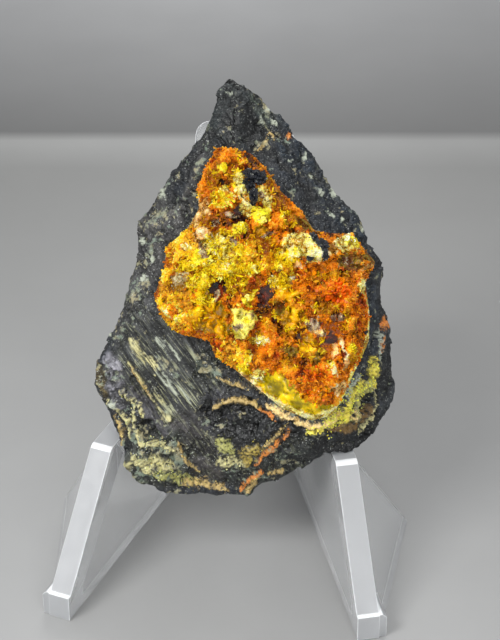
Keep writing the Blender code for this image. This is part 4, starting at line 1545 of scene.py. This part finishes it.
@dataclass
class Crystals:
    """All the small crystals and grains of the crust, one piece for each kind.

    Args:
        ground: The crust's ground, on which they grow.
        rock: The rock, on which the crumbs of its veins lie.
        chart: The map that says what grows where.
        embed: How much of its greatest size each sinks in.
        random_seed: Fixes their places and sizes.
    """

    ground: Piece
    rock: Piece
    chart: CrustMap
    embed: float = 0.18
    random_seed: int = 41

    def __post_init__(self) -> None:
        """Reads the surfaces that they grow on."""
        self.tree = CrystalTree()
        self.random = np.random.default_rng(self.random_seed)
        graph = bpy.context.evaluated_depsgraph_get()
        self.hits = BVHTree.FromObject(self.ground, graph)
        self.bare = BVHTree.FromObject(self.rock, graph)
        mesh = self.ground.data
        mesh.calc_loop_triangles()
        corners = np.empty(len(mesh.loop_triangles) * 3, np.int32)
        mesh.loop_triangles.foreach_get("vertices", corners)
        points = Detail(mesh).points
        self.triangles = points[corners.reshape(-1, 3)]

    def prototypes(self) -> dict[str, Piece]:
        """Makes the three forms, a unit long.

        Returns:
            A blade that stands up, a flake that lies flat and a grain.
        """
        blade = ((0.0, 1.0), (0.36, 0.80), (0.40, 0.10), (0.0, -0.2), (-0.40, 0.10), (-0.36, 0.80))
        corners = [math.radians(angle) for angle in range(0, 360, 60)]
        flake = [(0.5 * math.cos(angle), 0.5 * math.sin(angle)) for angle in corners]
        shape = bmesh.new()
        bmesh.ops.create_icosphere(shape, subdivisions=1, radius=0.5)
        for vert in shape.verts:
            vert.co *= 1.0 + 0.3 * noise.noise(vert.co * 3.0)
        return {
            "blade": self.prism("blade", blade, upright=True),
            "flake": self.prism("flake", flake, upright=False),
            "grain": bpy.data.objects.new("grain", mesh_from(shape, "grain")),
        }

    def prism(self, name: str, outline: object, upright: bool) -> Piece:
        """A flat crystal of unit thickness.

        Args:
            name: Its name.
            outline: The corners of its broad face.
            upright: Whether it stands up.

        Returns:
            The crystal.
        """
        shape = bmesh.new()
        rows = [
            [shape.verts.new((a, side, b) if upright else (a, b, side)) for a, b in outline]
            for side in (-0.5, 0.5)
        ]
        shape.faces.new(rows[0])
        shape.faces.new(reversed(rows[1]))
        for i in range(len(outline)):
            j = (i + 1) % len(outline)
            shape.faces.new((rows[0][i], rows[1][i], rows[1][j], rows[0][j]))
        bmesh.ops.recalc_face_normals(shape, faces=shape.faces)
        return bpy.data.objects.new(name, mesh_from(shape, name))

    def scatter(self) -> dict[Kind, list]:
        """Strews seeds all over the ground, as crowded as each tone says.

        Returns:
            The seeds of each kind.
        """
        edge_a = self.triangles[:, 1] - self.triangles[:, 0]
        edge_b = self.triangles[:, 2] - self.triangles[:, 0]
        normals = np.cross(edge_a, edge_b)
        areas = np.linalg.norm(normals, axis=1) / 2
        normals /= np.maximum(2 * areas, 1e-15)[:, None]
        top = normals @ PLANE.axes()[2] > 0.1
        crowd = max(sum(tone.crowd.values()) for tone in TONES.values())
        expected = areas * top / MM ** 2 * crowd
        counts = self.random.poisson(expected)
        which = np.repeat(np.arange(len(counts)), counts)
        a, b = self.random.random(len(which)), self.random.random(len(which))
        flip = a + b > 1
        a[flip], b[flip] = 1 - a[flip], 1 - b[flip]
        points = self.triangles[which, 0] + edge_a[which] * a[:, None] + edge_b[which] * b[:, None]
        places = PLANE.of_row(points)
        index = self.chart.tones(places)
        # Painted shade and light: a level from the crust's relief, low in hollows and high on crests.
        relief_shading_level = 0.5 + 0.75 * self.chart.lumps(places) + 0.35 * fractal(places, 0.8, 27.0, 2)
        chance = self.random.random(len(which)) * crowd
        seeds = {kind: [] for kind in Kind}
        for i in range(len(which)):
            tone = TONES[self.chart.names[index[i]]]
            level = 0.0
            for kind, dense in tone.crowd.items():
                if level <= chance[i] < level + dense:
                    tint = self.tint(tone.tints, relief_shading_level[i])
                    seeds[kind].append(self.seed(points[i], normals[which[i]], kind, tint, tone.size))
                level += dense
        return seeds

    def tint(self, tints: tuple, level: float) -> Array:
        """Picks a colour from a row of them.

        Args:
            tints: The colours, the first for hollows and the last for crests.
            level: How far up the seed is, 0 to 1.

        Returns:
            The colour, a little lighter or darker at random, and darker low down and lighter high up as
            painted shade and light.
        """
        place = np.clip(level + self.random.normal(0.0, 0.10), 0.0, 0.999) * (len(tints) - 1)
        low = int(place)
        share = place - low
        colour = np.array(tints[low]) * (1.0 - share) + np.array(tints[low + 1]) * share
        # Painted shade and light: darker in the hollows, lighter on the crests.
        return colour * self.random.uniform(0.94, 1.06) * (0.66 + 0.52 * min(1.0, max(0.0, level)))

    def seed(self, point: Array, normal: Array, kind: Kind, tint: Array,
             size: float) -> tuple:
        """Makes one seed.

        Args:
            point, normal: Where it stands.
            kind: What grows from it.
            tint: Its colour.
            size: Makes it larger or smaller.

        Returns:
            Its place, the way it points, its growth and its tint.
        """
        habit = HABITS[kind]
        low, high = habit.length
        length = size * (low + (high - low) * self.random.random() ** 2.4)
        outward = self.leaned(normal, *habit.lean)
        return point, outward, self.growth(habit, length), tint

    def leaned(self, normal: Array, low: float, high: float) -> Array:
        """Picks a direction, any way round a normal.

        Args:
            normal: The normal.
            low, high: The least and greatest angle off it, in degrees.

        Returns:
            The direction.
        """
        side = np.cross(normal, self.random.normal(size=3))
        side /= np.linalg.norm(side)
        angle = math.radians(self.random.uniform(low, high))
        return normal * math.cos(angle) + side * math.sin(angle)

    def growth(self, habit: Habit, length: float) -> Array:
        """Sizes a crystal.

        Args:
            habit: Its form.
            length: Its length in millimetres.

        Returns:
            Its scale along its own axes, in metres.
        """
        width = habit.width * self.random.uniform(0.8, 1.2)
        thick = habit.thick * self.random.uniform(0.7, 1.3)
        if habit.shape == "blade":
            return np.array((width, thick, 1.0)) * length * MM
        return np.array((1.0, width, thick)) * length * MM

    def cluster_seeds(self, cluster: Cluster) -> list:
        """Makes the seeds of a rosette, leaning away from its middle.

        Args:
            cluster: The rosette.

        Returns:
            Its seeds.
        """
        habit = HABITS[cluster.kind]
        axes = PLANE.axes()
        made = []
        for _ in range(cluster.count):
            angle = self.random.uniform(0, math.tau)
            far = math.sqrt(self.random.random())
            du = cluster.radius * far * math.cos(angle)
            dv = cluster.radius * far * math.sin(angle)
            hit = drop(self.hits, cluster.u + du, cluster.v + dv)
            if hit[0] is None:
                continue
            lean = math.radians(cluster.spread) * far * self.random.uniform(0.7, 1.1)
            way = axes[0] * math.cos(angle) + axes[1] * math.sin(angle)
            outward = axes[2] * math.cos(lean) + way * math.sin(lean)
            length = cluster.length * self.random.uniform(0.5, 1.0)
            tint = np.array(cluster.tints[self.random.integers(len(cluster.tints))])
            tint = tint * self.random.uniform(0.85, 1.15)
            made.append((np.array(hit[0]), outward, self.growth(habit, length), tint))
        return made

    def vein_seeds(self, vein: Vein) -> list:
        """Strews crumbs along a vein of the rock, in its colour, lighter and darker.

        Args:
            vein: The vein.

        Returns:
            Their seeds.
        """
        out = Vector(PLANE.axes()[2])
        habit = HABITS[Kind.VEIN_CRUMB]
        low, high = habit.length
        made = []
        for (au, av), (bu, bv) in zip(vein.route, vein.route[1:]):
            length = math.hypot(bu - au, bv - av)
            for _ in range(self.random.poisson(length * 2 * vein.half * vein.crumbs)):
                share = self.random.random()
                side = self.random.normal(0.0, 0.7 * vein.half)
                u = au + (bu - au) * share + side * (bv - av) / length
                v = av + (bv - av) * share - side * (bu - au) / length
                clump = noise.noise(Vector((u, v, 7.0)) * 1.1)
                clump += 0.6 * noise.noise(Vector((u, v, 9.0)) * 3.0)
                hit = drop(self.bare, u, v)
                if clump < -0.12 or hit[0] is None or hit[1].dot(out) < 0.1:
                    continue
                size = low + (high - low) * self.random.random() ** 1.8
                tint = np.array(vein.colour) * self.random.uniform(0.65, 1.35)
                outward = self.leaned(np.array(hit[1]), *habit.lean)
                made.append((np.array(hit[0]), outward, self.growth(habit, size), tint))
        return made

    def seed_mesh(self, seeds: list) -> Mesh:
        """Writes seeds as loose vertices with their attributes.

        Args:
            seeds: The seeds.

        Returns:
            The mesh.
        """
        mesh = bpy.data.meshes.new("seeds")
        places = np.array([seed[0] - seed[1] * self.embed * seed[2].max() for seed in seeds])
        mesh.from_pydata(places.tolist(), [], [])
        for name, column in (("outward", 1), ("growth", 2)):
            layer = mesh.attributes.new(name, "FLOAT_VECTOR", "POINT")
            layer.data.foreach_set("vector", np.array([seed[column] for seed in seeds]).reshape(-1))
        Detail(mesh).colour("tint", np.array([seed[3] for seed in seeds]))
        return mesh

    def build(self) -> list[Piece]:
        """Grows every kind as one piece.

        Returns:
            The pieces.
        """
        pieces = []
        seeds = self.scatter()
        for cluster in CLUSTERS.values():
            seeds[cluster.kind] += self.cluster_seeds(cluster)
        for vein in VEINS.values():
            seeds[Kind.VEIN_CRUMB] += self.vein_seeds(vein)
        prototypes = self.prototypes()
        for number, kind in enumerate(Kind):
            finish = CrystalFinish(kind).material()
            mesh = self.tree.grow(kind.value, self.seed_mesh(seeds[kind]),
                                  prototypes[HABITS[kind].shape], finish, number + 3)
            pieces.append(add_piece(kind.value, mesh))
        for prototype in prototypes.values():
            bpy.data.objects.remove(prototype)
        return pieces


@dataclass(frozen=True)
class Knob:
    """A lump of black uraninite that stands out of the crust, in millimetres and degrees.

    Args:
        u, v: Its place.
        radius_u, radius_v: Half its width each way, before it is turned.
        turn: How far it is turned anticlockwise.
        height: How far it stands out.
    """

    u: float
    v: float
    radius_u: float
    radius_v: float
    turn: float
    height: float


KNOBS = {
    "upper": Knob(0.2, 20.0, 1.5, 1.15, -10.0, 1.5),
    "upper right": Knob(1.4, 19.6, 1.15, 1.2, 20.0, 1.5),
    "upper left": Knob(-0.4, 19.2, 0.8, 0.7, 0.0, 1.2),
    "upper neck": Knob(0.1, 18.3, 0.75, 1.0, 0.0, 1.3),
    "upper foot": Knob(0.5, 17.2, 0.75, 1.15, 0.0, 1.3),
    "upper toe": Knob(0.4, 16.2, 0.55, 0.5, 0.0, 0.9),
    "right top": Knob(8.8, 11.4, 0.85, 0.7, -30.0, 0.8),
    "right": Knob(10.0, 10.3, 0.9, 1.2, 30.0, 1.0),
    "right low": Knob(10.3, 9.0, 0.6, 0.9, 20.0, 0.7),
    "right foot": Knob(8.3, 8.6, 0.6, 0.5, 0.0, 0.5),
    "hole speck": Knob(-4.7, 4.9, 0.4, 0.5, 0.0, 0.2),
    "rim speck": Knob(16.2, -1.6, 0.3, 0.5, 0.0, 0.3),
}


@dataclass(frozen=True)
class KnobFinish:
    """Pitch-black mineral with a few pale grains and a sparkle.

    Args:
        black, pale: Its colours.
    """

    black: tuple = paint(20, 23, 30)
    pale: tuple = paint(170, 170, 160)

    def material(self) -> Material:
        """Makes the material.

        Returns:
            The material.
        """
        shader = Shader("uraninite_knob", 0.0002)
        specks = shader.ramp(shader.grain(0.0005, 4.0), 0.62, 0.68, 0.0, 0.6)
        base = shader.blend(specks, self.black, self.pale)
        shader.drive("Base Color", base)
        shader.drive("Roughness", shader.ramp(shader.grain(0.0006), 0.35, 0.65, 0.25, 0.6))
        shader.bump(shader.grain(0.00035, 5.0), 0.8)
        return shader.material


@dataclass(frozen=True)
class Knobs:
    """The black knobs, as one piece of lumps.

    Args:
        ground: The crust's ground, in which they stand.
        fineness: How often each ball is divided.
    """

    ground: Piece
    fineness: int = 5

    def build(self) -> Piece:
        """Makes the lumps where the crust is, with broken surfaces.

        Returns:
            The piece.
        """
        shape = bmesh.new()
        surface = BVHTree.FromObject(self.ground, bpy.context.evaluated_depsgraph_get())
        for number, knob in enumerate(KNOBS.values()):
            middle = PLANE.of_row(np.array(drop(surface, knob.u, knob.v)[0]))
            made = bmesh.ops.create_icosphere(shape, subdivisions=self.fineness, radius=1.0)["verts"]
            turn = math.radians(knob.turn)
            for vert in made:
                own = vert.co * 1.7 + Vector((number * 9.0, 0, 0))
                far, _ = noise.voronoi(own, distance_metric="MANHATTAN")
                lump = 1.16 - 0.42 * far[0] + 0.16 * noise.noise(vert.co * 5.0)
                lump += 0.08 * noise.noise(vert.co * 14.0)
                x, y, z = vert.co * lump
                x, y, z = x * knob.radius_u, y * knob.radius_v, z * knob.height
                u = middle[0] + x * math.cos(turn) - y * math.sin(turn)
                v = middle[1] + x * math.sin(turn) + y * math.cos(turn)
                vert.co = PLANE.to_row(np.array((u, v, middle[2] + z)))
        mesh = mesh_from(shape, "uraninite_knobs")
        mesh.materials.append(KnobFinish().material())
        return add_piece("uraninite_knobs", mesh)


@dataclass(frozen=True)
class Acrylic:
    """One finish of the clear acrylic.

    Args:
        name: Its name.
        colour: Its colour, in linear light.
        transmission: The share of the light that it lets through.
        pitch: The size of the clouds in its roughness, in metres.
        smoothest, roughest: The ends of its roughness.
        ior: How strongly it bends light.
    """

    name: str
    colour: tuple[float, float, float, float]
    transmission: float
    pitch: float
    smoothest: float
    roughest: float
    ior: float = 1.49

    def material(self) -> Material:
        """Makes the material.

        Returns:
            The material.
        """
        shader = Shader(self.name, 0.00005)
        shader.constant("Base Color", self.colour)
        shader.constant("Transmission Weight", self.transmission)
        shader.constant("IOR", self.ior)
        rough = shader.ramp(shader.grain(self.pitch), 0.3, 0.7, self.smoothest, self.roughest)
        shader.drive("Roughness", rough)
        return shader.material


# The broad faces, the sheets' edges that the mould left a little rough, and the rounding along
# every edge, milky white as a painted highlight of the light that it gathers.
ACRYLICS = (
    Acrylic("clear_acrylic", (0.985, 0.99, 0.99, 1.0), 0.80, 0.004, 0.06, 0.14),
    Acrylic("frosted_acrylic_edge", (0.62, 0.63, 0.64, 1.0), 0.55, 0.002, 0.36, 0.52),
    Acrylic("milky_acrylic_rounding", (0.92, 0.93, 0.94, 1.0), 0.20, 0.0015, 0.22, 0.42),
)


@dataclass(frozen=True)
class ClearEasel:
    """The clear moulded stand, with soft edges whose milky white is a painted highlight, sizes in metres.

    Args:
        node: The solid that it dresses.
        edge: The width of the softened edges.
        sheet_edge: A face narrower than this is an edge of a sheet.
        rounding: A face narrower than this is a rounding.
        panel_corner: Above this height only the panel's corner stands, which is milky white as a painted
            highlight.
    """

    node: str = "clear_easel"
    edge: float = 0.00028
    sheet_edge: float = 0.0040
    rounding: float = 0.0006
    panel_corner: float = 0.0506

    def build(self) -> Piece:
        """Softens the solid's edges and gives each kind of face its finish.

        Returns:
            The piece.
        """
        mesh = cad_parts[self.node].data.copy()
        shape = bmesh.new()
        shape.from_mesh(mesh)
        bmesh.ops.remove_doubles(shape, verts=shape.verts, dist=WELD)
        flat = math.radians(1.0)
        bmesh.ops.dissolve_limit(shape, angle_limit=flat, verts=shape.verts, edges=shape.edges)
        shape.to_mesh(mesh)
        shape.free()
        mesh.materials.clear()
        found = modified(mesh, "BEVEL", width=self.edge, segments=2, limit_method="ANGLE",
                         angle_limit=math.radians(25))
        for acrylic in ACRYLICS:
            found.materials.append(acrylic.material())
        for face in found.polygons:
            width = self.width(found, face)
            face.material_index = sum(width < limit for limit in (self.sheet_edge, self.rounding))
            # Painted highlight: the panel's corner takes the milky finish.
            if face.center.z > self.panel_corner:
                face.material_index = 2
        piece = add_piece("easel_clear", found)
        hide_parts(self.node)
        return piece

    def width(self, mesh: Mesh, face: bpy.types.MeshPolygon) -> float:
        """The mean width of a face across its longest extent."""
        corners = [mesh.vertices[i].co for i in face.vertices]
        return face.area / max((a - b).length for a in corners for b in corners)


@dataclass(frozen=True)
class Lamp:
    """A round area light that faces the specimen.

    Args:
        name: Its name.
        place: Where it stands, in metres.
        size: Its width in metres.
        watts: Its power.
    """

    name: str
    place: tuple[float, float, float]
    size: float
    watts: float


# A key from above left, a fill from the right and a light from behind.
LAMPS = (
    Lamp("key", (-0.34, -0.40, 0.56), 0.32, 3.9),
    Lamp("fill", (0.20, -0.60, 0.38), 0.40, 2.1),
    Lamp("back", (0.05, 0.50, 0.50), 0.50, 1.4),
)


@dataclass(frozen=True)
class Studio:
    """The plain pale floor, soft lights and the camera, in metres and degrees.

    Args:
        distance: How far the camera is from the middle of the stone's face.
        azimuth, elevation: Where it stands, to the right of the front and above it.
        focal_pixels: Its focal length in pixels of an image of image_height.
        image_height: The photo's height in pixels.
        sensor: The height of its sensor in millimetres.
        paper_edge: How far behind the row's origin the floor's near paper ends.
        daylight: The colour of the light from all around.
        daylight_strength: How strong that light is.
    """

    distance: float = 0.300
    azimuth: float = 6.0
    elevation: float = 32.0
    focal_pixels: float = 2091.0
    image_height: int = 640
    sensor: float = 36.0
    paper_edge: float = 0.1268
    daylight: tuple[float, float, float, float] = (0.80, 0.82, 0.85, 1.0)
    daylight_strength: float = 0.78

    def aim(self) -> Vector:
        """The middle of the stone's face, at which the camera and the lamps point."""
        return Vector(PLANE.centre) * MM

    def build(self) -> None:
        """Makes the floor, the lights and the camera."""
        self.add_floor()
        self.add_lights()
        self.add_camera()

    def add_floor(self) -> None:
        """A pale floor that curves up far behind, with the edge of the paper between."""
        shape = bmesh.new()
        half, front, bend, radius, height, below = 1.6, -1.2, 0.9, 0.5, 1.2, 0.0001
        angles = [math.radians(90 * i / 16) for i in range(1, 17)]
        curve = [(bend + radius * math.sin(a), radius - radius * math.cos(a)) for a in angles]
        profile = [(front, 0.0), (bend, 0.0), *curve, (bend + radius, height)]
        rows = [[shape.verts.new((x, y, z - below)) for y, z in profile] for x in (-half, half)]
        for i in range(len(profile) - 1):
            shape.faces.new((rows[0][i], rows[1][i], rows[1][i + 1], rows[0][i + 1]))
        bmesh.ops.recalc_face_normals(shape, faces=shape.faces)
        mesh = mesh_from(shape, "floor")
        mesh.materials.append(self.paper())
        floor = bpy.data.objects.new("floor", mesh)
        bpy.context.scene.collection.objects.link(floor)

    def paper(self) -> Material:
        """Pale grey paper with painted light falloff, darker away from the specimen and towards the sides,
        most to the right, with a painted highlight along the near paper's edge, and darker past that edge,
        lighter again higher up.

        Returns:
            The material.
        """
        shader = Shader("pale_floor", 0.0001)
        turn = math.radians(self.azimuth)
        place = shader.place()
        edge = self.paper_edge
        away = shader.along(place, (-math.sin(turn), math.cos(turn), 0.0))
        across = shader.along(place, (math.cos(turn), math.sin(turn), 0.0))
        cloud = shader.ramp(shader.grain(0.02, 5.0), 0.3, 0.7, 0.97, 1.03)
        # Painted light falloff: darker away from the specimen.
        painted_falloff = shader.ramp(away, -0.03, edge - 0.02)
        near = shader.blend(painted_falloff, paint(160, 160, 159), paint(131, 131, 129))
        # Painted highlight along the near paper's edge.
        paper_edge_highlight = shader.ramp(away, edge - 0.014, edge - 0.004)
        near = shader.blend(paper_edge_highlight, near, paint(146, 146, 144))
        rise = shader.ramp(away, edge, edge + 0.07)
        far = shader.blend(rise, paint(100, 100, 99), paint(150, 150, 150))
        both = shader.blend(shader.ramp(away, edge - 0.002, edge + 0.002), near, far)
        # Painted light falloff towards the sides, stronger to the right.
        sides = shader.times(shader.ramp(across, 0.0, 0.055, 1.0, 0.76),
                            shader.ramp(across, -0.055, -0.02, 0.90, 1.0))
        shader.shaded(both, shader.times(cloud, sides))
        shader.constant("Roughness", 0.45)
        return shader.material

    def stand(self, name: str, data: bpy.types.ID, place: Vector, back: Vector) -> Piece:
        """Puts a lamp or the camera up.

        Args:
            name: Its name.
            data: The lamp or the camera.
            place: Where it stands.
            back: The direction away from what it faces.

        Returns:
            The new object.
        """
        made = bpy.data.objects.new(name, data)
        made.location = place
        made.rotation_mode = "QUATERNION"
        made.rotation_quaternion = back.to_track_quat("Z", "Y")
        bpy.context.scene.collection.objects.link(made)
        return made

    def add_lights(self) -> None:
        """The lamps and the light from all around."""
        for lamp in LAMPS:
            data = bpy.data.lights.new(lamp.name, "AREA")
            data.shape = "DISK"
            data.size = lamp.size
            data.energy = lamp.watts
            place = Vector(lamp.place)
            self.stand(lamp.name, data, place, place - self.aim())
        world = bpy.data.worlds.new("studio")
        world.use_nodes = True
        background = world.node_tree.nodes["Background"]
        background.inputs["Color"].default_value = self.daylight
        background.inputs["Strength"].default_value = self.daylight_strength
        bpy.context.scene.world = world
        bpy.context.scene.view_settings.view_transform = "Standard"

    def add_camera(self) -> None:
        """The photograph's viewpoint: a long lens from slightly right and well above."""
        azimuth, elevation = math.radians(self.azimuth), math.radians(self.elevation)
        back = Vector((
            math.sin(azimuth) * math.cos(elevation),
            -math.cos(azimuth) * math.cos(elevation),
            math.sin(elevation),
        ))
        data = bpy.data.cameras.new("camera")
        data.sensor_fit = "VERTICAL"
        data.sensor_height = data.sensor_width = self.sensor
        data.lens = self.focal_pixels * self.sensor / self.image_height
        data.clip_start, data.clip_end = 0.01, 10.0
        place = self.aim() + back * self.distance
        bpy.context.scene.camera = self.stand("camera", data, place, back)


def main() -> None:
    """Builds every piece in order and reports it."""
    logging.basicConfig(level=logging.INFO, format="%(message)s")
    chart = CrustMap()
    rock = UraniniteRock().build()
    ground = Crust(chart).build()
    crystals = Crystals(ground, rock, chart).build()
    knobs = Knobs(ground).build()
    easel = ClearEasel().build()
    for piece in (rock, ground, *crystals, knobs, easel):
        LOG.info("%s: %d faces", piece.name, len(piece.data.polygons))
    Studio().build()


if __name__ == "__main__":
    main()
